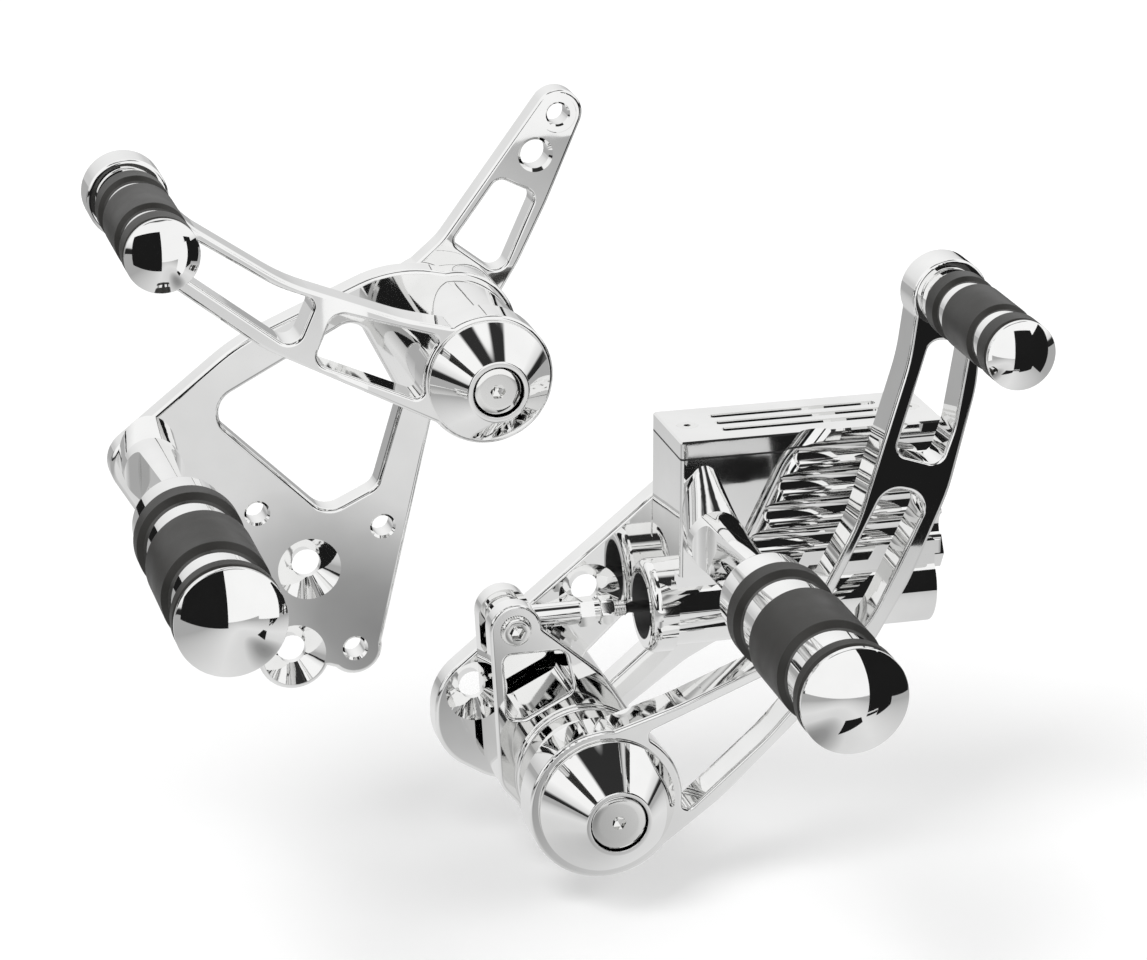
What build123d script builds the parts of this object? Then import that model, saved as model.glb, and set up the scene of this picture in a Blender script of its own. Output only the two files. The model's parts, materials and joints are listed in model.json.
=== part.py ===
# Motorcycle forward controls: a gear shift unit and a rear brake unit
# Millimetres. +Z is up, -Y points outboard to the rider's boot, and the back faces of both
# brackets lie in the plane Y = 0, against the machine's frame.
# The origin is the lower mounting hole of the brake bracket, on its back face.
# Lengths called "out" are distances outboard of that plane.

import os

from build123d import *

os.makedirs("parts", exist_ok=True)

# Driving dimensions: the two units

brake_pivot = (33.7, -23.5)
pivot_setback = 41.5
pivot_rise = 166.5
shift_pivot = (brake_pivot[0] - pivot_setback, brake_pivot[1] + pivot_rise)

plate = 9.5
edge_round = 1.6
lever_edge_round = 1.3
cutter_round = 2.5
seat_gap = 0.02
running_gap = 0.05
side_gap = 0.35

# Mounting holes

bolt_bore = 11.0
sink_rim = 24.0
sink_angle = 90
bolt_lobe = 13.8
dowel_bore = 8.0
dowel_rim = 0.9
dowel_lobe = 10.5
shift_bolt_a = (-56.1, -86.9)
shift_bolt_b = (-62.5, -120.9)
shift_dowel_a = (-75.3, -63.0)
shift_dowel_b = (-27.8, -72.5)
shift_dowel_c = (-39.2, -120.5)
brake_bolt_a = (-brake_pivot[0], -brake_pivot[1])
brake_bolt_b = (10.8, 59.0)

# Pivots

shaft = 16.0
bushing_wall = 3.0
bushing_length = 14.0
thread = 8.0
screw_head = 17.0
screw_reach = 22.0
screw_bite = 18.0
stud_head_d = 24.0
hex_key = 5.0
hex_depth = 3.0
brake_screw_head = 20.7
shift_cap_gap = 1.6
brake_cap_gap = 0.3
cap_recess_depth = 1.2
cap_rim = 1.6

shift_barrel_out = 50.0
shift_barrel_d = 44.5
shift_lever_thickness = 14.0
shift_hub_d = 48.0
shift_cap_d = 44.5
shift_cap_height = 15.0
inner_arm_hub_d = 49.0

brake_lever_out = 16.0
brake_lever_width = 25.0
brake_hub_d = 56.0
brake_ring_d = 53.0
brake_ring_width = 3.0
brake_barrel_d = 44.0
pedal_out = 60.0
pedal_thickness = 14.0
pedal_hub_d = 59.0
brake_cap_d = 52.0
brake_cap_height = 18.0
dowel_pin = 6.0
dowel_circle_d = 34.0

# Foot pegs: reach is counted from the end of the boss that carries the peg

peg_rubber_d = 38.1
peg_core_d = 34.0
peg_groove_d = 29.0
peg_shank_d = 22.0
peg_collar_at = 60.0
peg_bands = ((74.0, 86.0), (100.0, 136.0), (149.0, 158.0))
peg_cap_rim = 2.0
peg_cap_dome = 7.0
peg_spigot_d = 14.0
peg_stud_d = 10.0
rubber_bevel = 2.2
peg_flat_start = 6.0
peg_flat_half = 6.0
peg_flat_taper = 3.0
shift_peg_at = (-116.0, -36.3)
shift_peg_out = 23.0
brake_peg_at = (44.4, 96.9)
brake_peg_out = 63.0
shift_root_at = (-115.0, -36.8)
shift_root_half = (11.0, 15.5)
brake_root_at = (44.6, 100.5)
brake_root_half = (8.6, 20.0)

# Toe pegs

toe_rubber_d = 25.4
toe_core_d = 22.6
toe_groove_d = 18.0
toe_bands = ((6.0, 17.0), (23.5, 52.5), (59.0, 70.0))
toe_cap_rim = 1.6
toe_cap_dome = 4.6
toe_bolt_d = 8.0
toe_bolt_head = 15.0
toe_bolt_head_height = 4.5
toe_at_shift = (-127.0, 75.7)
toe_at_brake = (129.5, 186.5)
shift_tip_d = 28.5
pedal_tip_d = 29.0

# Rod linkage of the brake

rod_out = 28.5
rod_pin = (-26.0, 59.5)
rod_length = 85.0
rod_pin_d = 6.0
rod_head_d = 12.0
fork_gap = 10.0
rod_eye_d = 15.0
rod_eye_width = 9.0
rod_end_shank_d = 9.0
rod_d = 6.0
rod_tip_d = 8.0
rod_tip_gap = 0.4
nut_flats = 10.0
nut_width = 5.5
rod_hex_from = 27.2
rod_hex_width = 5.4
nut_collar = 2.4

# Master cylinder

body_left = 35.5
body_right = 139.0
body_back = plate
body_depth = 38.0
body_top = 123.0
body_foot = 77.0
cylinder_d = 32.0
bore = 19.0
mouth_bore = 25.0
mouth_d = 36.0
mouth_width = 10.0
mouth_round = 3.6
gasket = 0.8
cover_height = 6.4
cover_edge = 0.7
corner_round = 1.2
cover_screw_d = 8.0
cover_screw_length = 16.0
cover_groove_width = 4.0
cover_groove_depth = 1.0
piston_length = 34.0
seal_width = 3.6
circlip_width = 1.2
spring_wire = 1.6
spring_turns = 6
plug_flats = 13.0
plug_reach = 5.5
plug_rise = 12.5
port_thread = 9.8

# Ball milled front of the master cylinder: a slanting channel, and grooves with thin fins between

channel_radius = 5.5
channel_depth = 3.2
channel_bend = 25.0
channel_path = ((55.9, 73.0), (77.4, 118.0), (91.0, 134.0))
groove_radius = 5.7
groove_depth = 3.8
groove_starts = ((82.6, 120.7), (76.4, 109.7), (71.2, 98.7), (65.9, 87.7))


# Helpers

def face_plane(centre, out):
    """Drawing plane that looks inboard: its x is +X, its y is +Z, its normal points outboard."""
    return Plane(origin=(centre[0], -out, centre[1]), x_dir=(1, 0, 0), z_dir=(0, -1, 0))


def turning_plane(centre):
    """Drawing plane through a cross axis: its x is the radius and its y is the reach outboard."""
    return Plane(origin=(centre[0], 0, centre[1]), x_dir=(1, 0, 0), z_dir=(0, 0, -1))


def about(pivot, point):
    """A point given from a pivot, in the part's own frame."""
    return (pivot[0] + point[0], pivot[1] + point[1])


def rounded(corners, mode=Mode.ADD):
    """Closed outline of straight runs, each corner given as (x, y, radius of its round)."""
    with BuildLine() as rim:
        FilletPolyline(
            *[(x, y) for x, y, r in corners],
            radius=[r for x, y, r in corners],
            close=True,
        )
    return make_face(rim.edges(), mode=mode)


def soften(sketch, radius):
    """Round every sharp corner that is left where outlines cross, as a milling cutter does."""
    sharp = []
    for corner in sketch.vertices():
        at = Vector(corner)
        directions = []
        for edge in sketch.edges():
            for end in (0, 1):
                if (edge @ end - at).length < 1e-4:
                    directions.append(edge % end)
        if len(directions) == 2 and directions[0].cross(directions[1]).length > 0.05:
            sharp.append(corner)
    for corner in sharp:
        nearest = sketch.vertices().sort_by_distance(corner)[0]
        fillet(nearest, radius=radius)


def turned(centre, corners, mode=Mode.ADD):
    """Solid turned about a cross axis from corners (radius, out, round)."""
    with BuildSketch(turning_plane(centre)) as section:
        rounded(corners)
    return revolve(section.sketch, axis=Axis((centre[0], 0, centre[1]), (0, -1, 0)), mode=mode)


def rod_plane(x, z, out):
    """Drawing plane square to the brake rod, its normal along +X."""
    return Plane(origin=(x, -out, z), x_dir=(0, -1, 0), z_dir=(1, 0, 0))


def disc_along_x(x_from, x_to, diameter, z, out, mode=Mode.ADD):
    """Round bar along X."""
    with BuildSketch(rod_plane(x_from, z, out)) as end:
        Circle(diameter / 2)
    return extrude(end.sketch, amount=x_to - x_from, mode=mode)


def hex_along_x(x_from, x_to, flats, z, out, mode=Mode.ADD):
    """Hexagonal bar along X, given across its flats."""
    with BuildSketch(rod_plane(x_from, z, out)) as end:
        RegularPolygon(flats / 2, 6, major_radius=False)
    return extrude(end.sketch, amount=x_to - x_from, mode=mode)


def save(part, name):
    part.part.label = name
    export_step(part.part, f"parts/{name}.step")


def fanned_boss(axis_at, root_at, root_half, root_out, ring_out):
    """Boss that rises from a tall root on a flat face to the round end that carries a peg."""
    with BuildSketch(face_plane(root_at, root_out)) as root:
        Ellipse(root_half[0], root_half[1])
    with BuildSketch(face_plane(axis_at, ring_out)) as ring:
        Circle(peg_shank_d / 2)
    loft([root.sketch.face(), ring.sketch.face()])


bushing_d = shaft + 2 * running_gap + 2 * bushing_wall

# Shift bracket: polished plate with a big window, mounting holes and the foot peg's boss

shift_plate_corners = (
    (-22.0, 28.4, 45), (6.0, 22.5, 2), (-5.5, -19.0, 2), (-30.0, -124.0, 3),
    (-42.0, -129.5, 3), (-50.5, -126.5, 3), (-60.0, -133.0, 3), (-74.0, -124.5, 3),
    (-108.0, -79.0, 60), (-132.7, -37.5, 12), (-80.9, 3.4, 80),
)
shift_window_corners = (
    (-94.5, -21.0, 9), (-36.0, 10.0, 7), (-19.6, -22.5, 6), (-30.0, -57.0, 7), (-49.0, -66.0, 9),
)

with BuildPart() as shift_bracket:
    with BuildSketch(face_plane(shift_pivot, 0)):
        rounded(shift_plate_corners)
        Circle(inner_arm_hub_d / 2)
        with Locations(shift_bolt_b):
            Circle(bolt_lobe)
        with Locations(shift_dowel_c):
            Circle(dowel_lobe)
        rounded(shift_window_corners, mode=Mode.SUBTRACT)
    extrude(amount=plate)
    fillet(shift_bracket.edges().group_by(Axis.Y)[0], radius=edge_round)
    fanned_boss(
        about(shift_pivot, shift_peg_at), about(shift_pivot, shift_root_at), shift_root_half,
        plate, shift_peg_out,
    )
    with Locations(face_plane(shift_pivot, plate)):
        with Locations(shift_bolt_a, shift_bolt_b):
            CounterSinkHole(bolt_bore / 2, sink_rim / 2, plate * 2, sink_angle)
        with Locations(shift_dowel_a, shift_dowel_b, shift_dowel_c):
            CounterSinkHole(dowel_bore / 2, dowel_bore / 2 + dowel_rim, plate * 2, sink_angle)
        Hole(bushing_d / 2 + seat_gap)
    with Locations(face_plane(about(shift_pivot, shift_peg_at), shift_peg_out)):
        Hole(peg_stud_d / 2 + seat_gap)
    with Locations(-face_plane(about(shift_pivot, shift_peg_at), 0)):
        CounterSinkHole(peg_stud_d / 2 + seat_gap, screw_head / 2 + seat_gap, plate, sink_angle)
save(shift_bracket, "shift_bracket")

# Shift pivot: fixed barrel, bushings, and the shaft that joins the lever to the inner arm

with BuildPart() as shift_barrel:
    turned(
        shift_pivot,
        ((bushing_d / 2 + seat_gap, plate, 0), (shift_barrel_d / 2, plate, 0),
         (shift_barrel_d / 2, shift_barrel_out, 1), (bushing_d / 2 + seat_gap, shift_barrel_out, 0)),
    )
save(shift_barrel, "shift_barrel")

shift_outer_face = shift_barrel_out + side_gap + shift_lever_thickness
with BuildPart() as shift_pivot_bushings:
    for inner_end in (0, shift_barrel_out - bushing_length):
        turned(
            shift_pivot,
            ((shaft / 2 + running_gap, inner_end, 0), (bushing_d / 2, inner_end, 0),
             (bushing_d / 2, inner_end + bushing_length, 0),
             (shaft / 2 + running_gap, inner_end + bushing_length, 0)),
        )
save(shift_pivot_bushings, "shift_pivot_bushings")

arm_back = -side_gap - 2 * plate
with BuildPart() as shift_pivot_shaft:
    turned(
        shift_pivot,
        ((0, arm_back + cap_recess_depth, 0), (shaft / 2, arm_back + cap_recess_depth, 0),
         (shaft / 2, shift_outer_face - cap_recess_depth, 0),
         (0, shift_outer_face - cap_recess_depth, 0)),
    )
    with Locations(face_plane(shift_pivot, shift_outer_face - cap_recess_depth)):
        Hole(thread / 2 + seat_gap, screw_reach)
    with Locations(-face_plane(shift_pivot, arm_back + cap_recess_depth)):
        Hole(thread / 2 + seat_gap, screw_reach)
save(shift_pivot_shaft, "shift_pivot_shaft")

# Shift lever: two-window arm from the hub to the toe peg

shift_lever_corners = (
    (-5.0, 18.5, 0), (-30.0, 24.8, 80), (-72.0, 41.5, 70), (-108.0, 66.5, 30),
    (-118.0, 84.5, 1), (-134.5, 65.0, 1), (-118.0, 47.3, 40), (-81.7, 18.3, 60),
    (-15.5, -16.5, 0),
)
shift_lever_outer_window = (
    (-62.0, 34.5, 4), (-76.0, 40.3, 50), (-109.0, 62.5, 6), (-114.0, 50.8, 6), (-70.0, 16.5, 5),
)
shift_lever_inner_window = (
    (-55.5, 29.5, 5), (-12.0, 15.5, 0), (-14.0, -10.5, 0), (-63.5, 11.5, 5),
)
with BuildPart() as shift_lever:
    with BuildSketch(face_plane(shift_pivot, shift_barrel_out + side_gap)) as shift_lever_outline:
        rounded(shift_lever_corners)
        with Locations(toe_at_shift):
            Circle(shift_tip_d / 2)
        rounded(shift_lever_outer_window, mode=Mode.SUBTRACT)
        rounded(shift_lever_inner_window, mode=Mode.SUBTRACT)
        Circle(shift_hub_d / 2)
        soften(shift_lever_outline, cutter_round)
    extrude(amount=shift_lever_thickness)
    fillet(shift_lever.edges().group_by(Axis.Y)[0], radius=lever_edge_round)
    with Locations(face_plane(shift_pivot, shift_outer_face)):
        Hole(shaft / 2 + seat_gap)
        with Locations(toe_at_shift):
            Hole(toe_bolt_d / 2 + seat_gap)
save(shift_lever, "shift_lever")


def cone_cap(centre, face, diameter, height, head, gap):
    """Cone shaped end cap with a recess for its screw."""
    recess = head / 2 + gap
    turned(
        centre,
        ((0, face, 0), (diameter / 2, face, 0.4), (diameter / 2, face + cap_rim, 0.4),
         (recess + 1, face + height, 0.5), (recess, face + height, 0.4),
         (recess, face + height - cap_recess_depth, 0), (0, face + height - cap_recess_depth, 0)),
    )
    with Locations(face_plane(centre, face + height - cap_recess_depth)):
        CounterSinkHole(thread / 2 + seat_gap, head / 2 + seat_gap, height * 2, sink_angle)


def flat_head_screw(centre, face, length, head):
    """Flat head screw whose head's face lies at the given reach, with a key socket."""
    turned(
        centre,
        ((0, face, 0), (head / 2, face, 0), (thread / 2, face - (head - thread) / 2, 0),
         (thread / 2, face - length, 0), (0, face - length, 0)),
    )
    with BuildSketch(face_plane(centre, face)) as key:
        RegularPolygon(hex_key / 2, 6, major_radius=False)
    extrude(key.sketch, amount=hex_depth, both=True, mode=Mode.SUBTRACT)


with BuildPart() as shift_cap:
    cone_cap(
        shift_pivot, shift_outer_face, shift_cap_d, shift_cap_height, screw_head, shift_cap_gap
    )
save(shift_cap, "shift_cap")

with BuildPart() as shift_cap_screw:
    flat_head_screw(
        shift_pivot,
        shift_outer_face + shift_cap_height - cap_recess_depth,
        shift_cap_height + screw_bite,
        screw_head,
    )
save(shift_cap_screw, "shift_cap_screw")

# Inner shift arm: the arm behind the plate that the gearbox rod is bolted to

arm_hub = inner_arm_hub_d / 2
inner_arm_corners = (
    (-0.61 * arm_hub, 0.73 * arm_hub, 0), (0.5, 31.0, 25), (43.2, 88.5, 8.9), (57.0, 80.5, 8.9),
    (41.0, 43.0, 100), (30.0, 20.5, 60), (0.86 * arm_hub, 0.24 * arm_hub, 0),
)
inner_arm_window = (
    (22.3, 53.6, 4), (36.8, 46.3, 4), (23.0, 15.5, 5), (4.6, 29.8, 3),
)
rod_hole_a = (45.4, 76.3)
rod_hole_b = (36.6, 61.6)
rod_hole_a_d = 8.0
rod_hole_b_d = 11.0
rod_hole_rim = 1.2
rod_spot_d = 14.0
rod_spot_depth = 0.5
with BuildPart() as inner_shift_arm:
    with BuildSketch(face_plane(shift_pivot, arm_back)) as inner_arm_outline:
        rounded(inner_arm_corners)
        rounded(inner_arm_window, mode=Mode.SUBTRACT)
        Circle(inner_arm_hub_d / 2)
        soften(inner_arm_outline, cutter_round)
    extrude(amount=plate)
    fillet(inner_shift_arm.edges().group_by(Axis.Y)[0], radius=lever_edge_round)
    turned(
        shift_pivot,
        ((0, arm_back + plate / 2, 0), (inner_arm_hub_d / 2, arm_back + plate / 2, 0),
         (inner_arm_hub_d / 2, -side_gap, 0), (0, -side_gap, 0)),
    )
    with Locations(face_plane(shift_pivot, arm_back + plate)):
        Hole(shaft / 2 + seat_gap)
        with Locations(rod_hole_a):
            CounterBoreHole(rod_hole_a_d / 2, rod_spot_d / 2, rod_spot_depth, plate * 2)
            CounterSinkHole(rod_hole_a_d / 2, rod_hole_a_d / 2 + rod_hole_rim, plate * 2, sink_angle)
        with Locations(rod_hole_b):
            CounterSinkHole(rod_hole_b_d / 2, rod_hole_b_d / 2 + rod_hole_rim, plate * 2, sink_angle)
save(inner_shift_arm, "inner_shift_arm")

washer_d = 26.0
washer = 2.5
with BuildPart() as inner_arm_washer:
    turned(
        shift_pivot,
        ((thread / 2 + seat_gap, arm_back - washer, 0), (washer_d / 2, arm_back - washer, 0.5),
         (washer_d / 2, arm_back, 0), (thread / 2 + seat_gap, arm_back, 0)),
    )
save(inner_arm_washer, "inner_arm_washer")

button_height = 4.0
with BuildPart() as inner_arm_screw:
    turned(
        shift_pivot,
        ((0, arm_back - washer - button_height, 0),
         (screw_head / 2 - 1, arm_back - washer - button_height, 1.5),
         (screw_head / 2 - 1, arm_back - washer, 0), (thread / 2, arm_back - washer, 0),
         (thread / 2, arm_back + screw_bite, 0), (0, arm_back + screw_bite, 0)),
    )
    with BuildSketch(face_plane(shift_pivot, arm_back - washer - button_height)) as key:
        RegularPolygon(hex_key / 2, 6, major_radius=False)
    extrude(key.sketch, amount=hex_depth, both=True, mode=Mode.SUBTRACT)
save(inner_arm_screw, "inner_arm_screw")

# Foot pegs: scooped shank, grooved core, rubber bands and a domed end cap


def peg_shank(centre, start):
    """Round shank with a scoop milled in each side, deeper towards the peg."""
    spigot_end = start + peg_collar_at + peg_spigot_d
    turned(
        centre,
        ((0, start, 0), (peg_shank_d / 2, start, 0), (peg_shank_d / 2, start + peg_collar_at, 0),
         (peg_spigot_d / 2, start + peg_collar_at, 0), (peg_spigot_d / 2, spigot_end, 0.8),
         (0, spigot_end, 0)),
    )
    for side in (-1, 1):
        with BuildSketch(turning_plane(centre)) as scoop:
            rounded((
                (side * peg_flat_half, start + peg_flat_start, 5),
                (side * peg_shank_d, start + peg_flat_start, 0),
                (side * peg_shank_d, start + peg_collar_at - 1, 0),
                (side * (peg_flat_half - peg_flat_taper), start + peg_collar_at - 1, 0),
            ))
        extrude(scoop.sketch, amount=peg_shank_d, both=True, mode=Mode.SUBTRACT)
    with Locations(face_plane(centre, start)):
        with Locations(Location((0, 0, peg_spigot_d))):
            Hole(peg_stud_d / 2 + seat_gap, peg_spigot_d * 2)


def peg_core(centre, start, core_d, groove_d, collar_at, bands, cap_at, socket_d, stud_d):
    """Turned core with a groove for each rubber band."""
    corners = [(0, start + collar_at, 0), (core_d / 2, start + collar_at, 1.5)]
    for low, high in bands:
        corners += [
            (core_d / 2, start + low, 0), (groove_d / 2, start + low, 0),
            (groove_d / 2, start + high, 0), (core_d / 2, start + high, 0),
        ]
    if bands[-1][1] < cap_at:
        corners.append((core_d / 2, start + cap_at, 0))
    else:
        corners.pop()
    corners.append((0, start + cap_at, 0))
    turned(centre, corners)
    with Locations(-face_plane(centre, start + collar_at)):
        Hole(socket_d / 2 + seat_gap, peg_spigot_d + 1)
    with Locations(face_plane(centre, start + cap_at)):
        Hole(stud_d / 2 + seat_gap, stud_d * 1.4)


def rubber_band(centre, start, low, high, rubber_d, groove_d, bevel):
    """Rubber ring seated in its groove, bevelled at both ends."""
    turned(
        centre,
        ((groove_d / 2 + seat_gap, start + low + seat_gap, 0),
         (rubber_d / 2 - bevel, start + low + seat_gap, 0),
         (rubber_d / 2, start + low + bevel, 0.6), (rubber_d / 2, start + high - bevel, 0.6),
         (rubber_d / 2 - bevel, start + high - seat_gap, 0),
         (groove_d / 2 + seat_gap, start + high - seat_gap, 0)),
    )


def end_cap(centre, face, diameter, rim, dome, stud_d):
    """Domed end cap with its own threaded stud."""
    crown = ((diameter / 2) ** 2 + dome ** 2) / (2 * dome)
    with BuildSketch(turning_plane(centre)) as section:
        with BuildLine():
            Polyline(
                (0, face + rim + dome), (0, face - stud_d * 1.3), (stud_d / 2, face - stud_d * 1.3),
                (stud_d / 2, face), (diameter / 2, face), (diameter / 2, face + rim),
            )
            RadiusArc((diameter / 2, face + rim), (0, face + rim + dome), -crown)
        make_face()
    revolve(section.sketch, axis=Axis((centre[0], 0, centre[1]), (0, -1, 0)))


peg_cap_stud_d = 12.0
toe_cap_stud_d = 9.0
peg_cap_at = peg_bands[-1][1]
toe_cap_at = toe_bands[-1][1]
foot_pegs = (
    ("shift", about(shift_pivot, shift_peg_at), shift_peg_out),
    ("brake", about(brake_pivot, brake_peg_at), brake_peg_out),
)
for unit, peg_axis, peg_start in foot_pegs:
    with BuildPart() as shank:
        peg_shank(peg_axis, peg_start)
    save(shank, f"{unit}_peg_shank")
    with BuildPart() as core:
        peg_core(
            peg_axis, peg_start, peg_core_d, peg_groove_d, peg_collar_at, peg_bands,
            peg_cap_at, peg_spigot_d, peg_cap_stud_d,
        )
    save(core, f"{unit}_peg_core")
    with BuildPart() as narrow_rubbers:
        for low, high in (peg_bands[0], peg_bands[2]):
            rubber_band(peg_axis, peg_start, low, high, peg_rubber_d, peg_groove_d, rubber_bevel)
    save(narrow_rubbers, f"{unit}_peg_narrow_rubbers")
    with BuildPart() as wide_rubber:
        low, high = peg_bands[1]
        rubber_band(peg_axis, peg_start, low, high, peg_rubber_d, peg_groove_d, rubber_bevel)
    save(wide_rubber, f"{unit}_peg_wide_rubber")
    with BuildPart() as peg_end_cap:
        end_cap(
            peg_axis, peg_start + peg_cap_at + seat_gap, peg_rubber_d, peg_cap_rim,
            peg_cap_dome, peg_cap_stud_d,
        )
    save(peg_end_cap, f"{unit}_peg_end_cap")

with BuildPart() as shift_peg_bolt:
    shift_peg_axis = about(shift_pivot, shift_peg_at)
    turned(
        shift_peg_axis,
        ((0, 0, 0), (screw_head / 2, 0, 0),
         (peg_stud_d / 2, (screw_head - peg_stud_d) / 2, 0),
         (peg_stud_d / 2, shift_peg_out + peg_spigot_d - 1, 0),
         (0, shift_peg_out + peg_spigot_d - 1, 0)),
    )
    with BuildSketch(face_plane(shift_peg_axis, 0)) as key:
        RegularPolygon(hex_key / 2, 6, major_radius=False)
    extrude(key.sketch, amount=hex_depth, both=True, mode=Mode.SUBTRACT)
save(shift_peg_bolt, "shift_peg_bolt")

brake_stud_depth = 26.0
with BuildPart() as brake_peg_stud:
    turned(
        about(brake_pivot, brake_peg_at),
        ((0, brake_peg_out - brake_stud_depth + 1, 0),
         (peg_stud_d / 2, brake_peg_out - brake_stud_depth + 1, 0.8),
         (peg_stud_d / 2, brake_peg_out + peg_spigot_d - 1, 0.8),
         (0, brake_peg_out + peg_spigot_d - 1, 0)),
    )
save(brake_peg_stud, "brake_peg_stud")

# Toe pegs: smaller pegs bolted to the tips of the lever and the pedal

pedal_face = pedal_out + pedal_thickness
toe_pegs = (
    ("shift", about(shift_pivot, toe_at_shift), shift_outer_face, shift_lever_thickness),
    ("brake", about(brake_pivot, toe_at_brake), pedal_face, pedal_thickness),
)
toe_bolt_reach = 11.0
for unit, peg_axis, peg_start, lever_depth in toe_pegs:
    with BuildPart() as toe_core:
        peg_core(
            peg_axis, peg_start, toe_core_d, toe_groove_d, 0, toe_bands,
            toe_cap_at, toe_bolt_d, toe_cap_stud_d,
        )
    save(toe_core, f"{unit}_toe_peg_core")
    with BuildPart() as toe_rubbers:
        for low, high in toe_bands:
            rubber_band(
                peg_axis, peg_start, low, high, toe_rubber_d, toe_groove_d, rubber_bevel * 0.8
            )
    save(toe_rubbers, f"{unit}_toe_peg_rubbers")
    with BuildPart() as toe_cap:
        end_cap(
            peg_axis, peg_start + toe_cap_at + seat_gap, toe_rubber_d, toe_cap_rim,
            toe_cap_dome, toe_cap_stud_d,
        )
    save(toe_cap, f"{unit}_toe_peg_end_cap")
    back = peg_start - lever_depth
    with BuildPart() as toe_bolt:
        turned(
            peg_axis,
            ((0, back - toe_bolt_head_height, 0),
             (toe_bolt_head / 2, back - toe_bolt_head_height, 1.2), (toe_bolt_head / 2, back, 0),
             (toe_bolt_d / 2, back, 0), (toe_bolt_d / 2, peg_start + toe_bolt_reach, 0),
             (0, peg_start + toe_bolt_reach, 0)),
        )
        with BuildSketch(face_plane(peg_axis, back - toe_bolt_head_height)) as key:
            RegularPolygon(hex_key / 2, 6, major_radius=False)
        extrude(key.sketch, amount=hex_depth, both=True, mode=Mode.SUBTRACT)
    save(toe_bolt, f"{unit}_toe_peg_bolt")

# Brake bracket: plate that carries the pedal's pivot and the master cylinder

brake_plate_corners = (
    (-50.0, 27.2, 23), (-50.0, 0.0, 23), (-22.0, -17.5, 20), (20.0, 5.7, 0), (50.0, 27.6, 40),
    (96.0, 51.0, 12), (134.0, 66.0, 8), (134.0, 100.0, 6), (39.8, 100.0, 2),
)
brake_window_corners = (
    (5.0, 29.8, 4), (10.5, 14.3, 3), (50.0, 47.6, 5), (40.0, 62.9, 6),
)
mount_screw_at = ((62.0, 89.0), (124.0, 89.0))
mount_screw_d = 6.0
mount_screw_head = 12.0
mount_screw_reach = 20.0
with BuildPart() as brake_bracket:
    with BuildSketch(face_plane(brake_pivot, 0)) as brake_plate_outline:
        rounded(brake_plate_corners)
        Circle(brake_hub_d / 2)
        rounded(brake_window_corners, mode=Mode.SUBTRACT)
        soften(brake_plate_outline, cutter_round)
    extrude(amount=plate)
    fillet(brake_bracket.edges().group_by(Axis.Y)[0], radius=edge_round)
    turned(
        brake_pivot,
        ((0, plate / 2, 0), (brake_barrel_d / 2, plate / 2, 0),
         (brake_barrel_d / 2, brake_lever_out - side_gap, 0.5), (0, brake_lever_out - side_gap, 0)),
    )
    with Locations(face_plane(brake_pivot, plate)):
        with Locations(brake_bolt_a, brake_bolt_b):
            CounterSinkHole(bolt_bore / 2, sink_rim / 2, plate * 2, sink_angle)
    with Locations(-face_plane(brake_pivot, 0)):
        CounterSinkHole(shaft / 2 + seat_gap, stud_head_d / 2, plate * 2, sink_angle)
    with Locations(*[-face_plane(about(brake_pivot, at), 0) for at in mount_screw_at]):
        CounterSinkHole(mount_screw_d / 2 + seat_gap, mount_screw_head / 2, plate * 2, sink_angle)
save(brake_bracket, "brake_bracket")

# Brake pivot: a fixed stud, and the pedal, spacer and inner lever that turn on it as one

with BuildPart() as brake_pivot_shaft:
    turned(
        brake_pivot,
        ((0, 0, 0), (stud_head_d / 2 - seat_gap, 0, 0), (shaft / 2, (stud_head_d - shaft) / 2, 0),
         (shaft / 2, pedal_face + side_gap - seat_gap, 0), (0, pedal_face + side_gap - seat_gap, 0)),
    )
    with Locations(face_plane(brake_pivot, pedal_face + side_gap)):
        Hole(thread / 2 + seat_gap, screw_reach)
save(brake_pivot_shaft, "brake_pivot_shaft")

with BuildPart() as brake_pivot_bushings:
    for inner_end in (brake_lever_out, pedal_face - bushing_length):
        turned(
            brake_pivot,
            ((shaft / 2 + running_gap, inner_end, 0), (bushing_d / 2, inner_end, 0),
             (bushing_d / 2, inner_end + bushing_length, 0),
             (shaft / 2 + running_gap, inner_end + bushing_length, 0)),
        )
save(brake_pivot_bushings, "brake_pivot_bushings")

inner_lever_corners = (
    (-36.0, 59.0, 1), (-32.5, -3.0, 12), (-21.0, -16.5, 1), (22.0, 16.0, 1), (8.0, 38.5, 15),
    (-16.6, 60.0, 1),
)
inner_lever_window = (
    (-30.8, 49.5, 3), (-29.0, 24.0, 3), (-22.5, 23.5, 4), (-3.5, 33.0, 4), (-7.0, 49.5, 4),
)
fork_tip_d = 20.0
brake_lever_face = brake_lever_out + brake_lever_width
with BuildPart() as inner_brake_lever:
    with BuildSketch(face_plane(brake_pivot, brake_lever_out)) as inner_lever_outline:
        rounded(inner_lever_corners)
        with Locations(rod_pin):
            Circle(fork_tip_d / 2)
        Circle(brake_hub_d / 2)
        rounded(inner_lever_window, mode=Mode.SUBTRACT)
        soften(inner_lever_outline, cutter_round)
    extrude(amount=brake_lever_width)
    fillet(inner_brake_lever.edges().group_by(Axis.Y)[0], radius=lever_edge_round)
    with BuildSketch(face_plane(about(brake_pivot, rod_pin), rod_out - fork_gap / 2)):
        with Locations((fork_tip_d / 2, 0)):
            Rectangle(fork_tip_d * 2.4, fork_tip_d * 1.2)
    extrude(amount=fork_gap, mode=Mode.SUBTRACT)
    with Locations(face_plane(brake_pivot, brake_lever_face)):
        Hole(bushing_d / 2 + seat_gap)
        with Locations(rod_pin):
            CounterBoreHole(rod_pin_d / 2 + seat_gap, rod_head_d / 2 + seat_gap, 4.0)
        with PolarLocations(dowel_circle_d / 2, 3, start_angle=90):
            Hole(dowel_pin / 2 + seat_gap, bushing_length)
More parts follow.
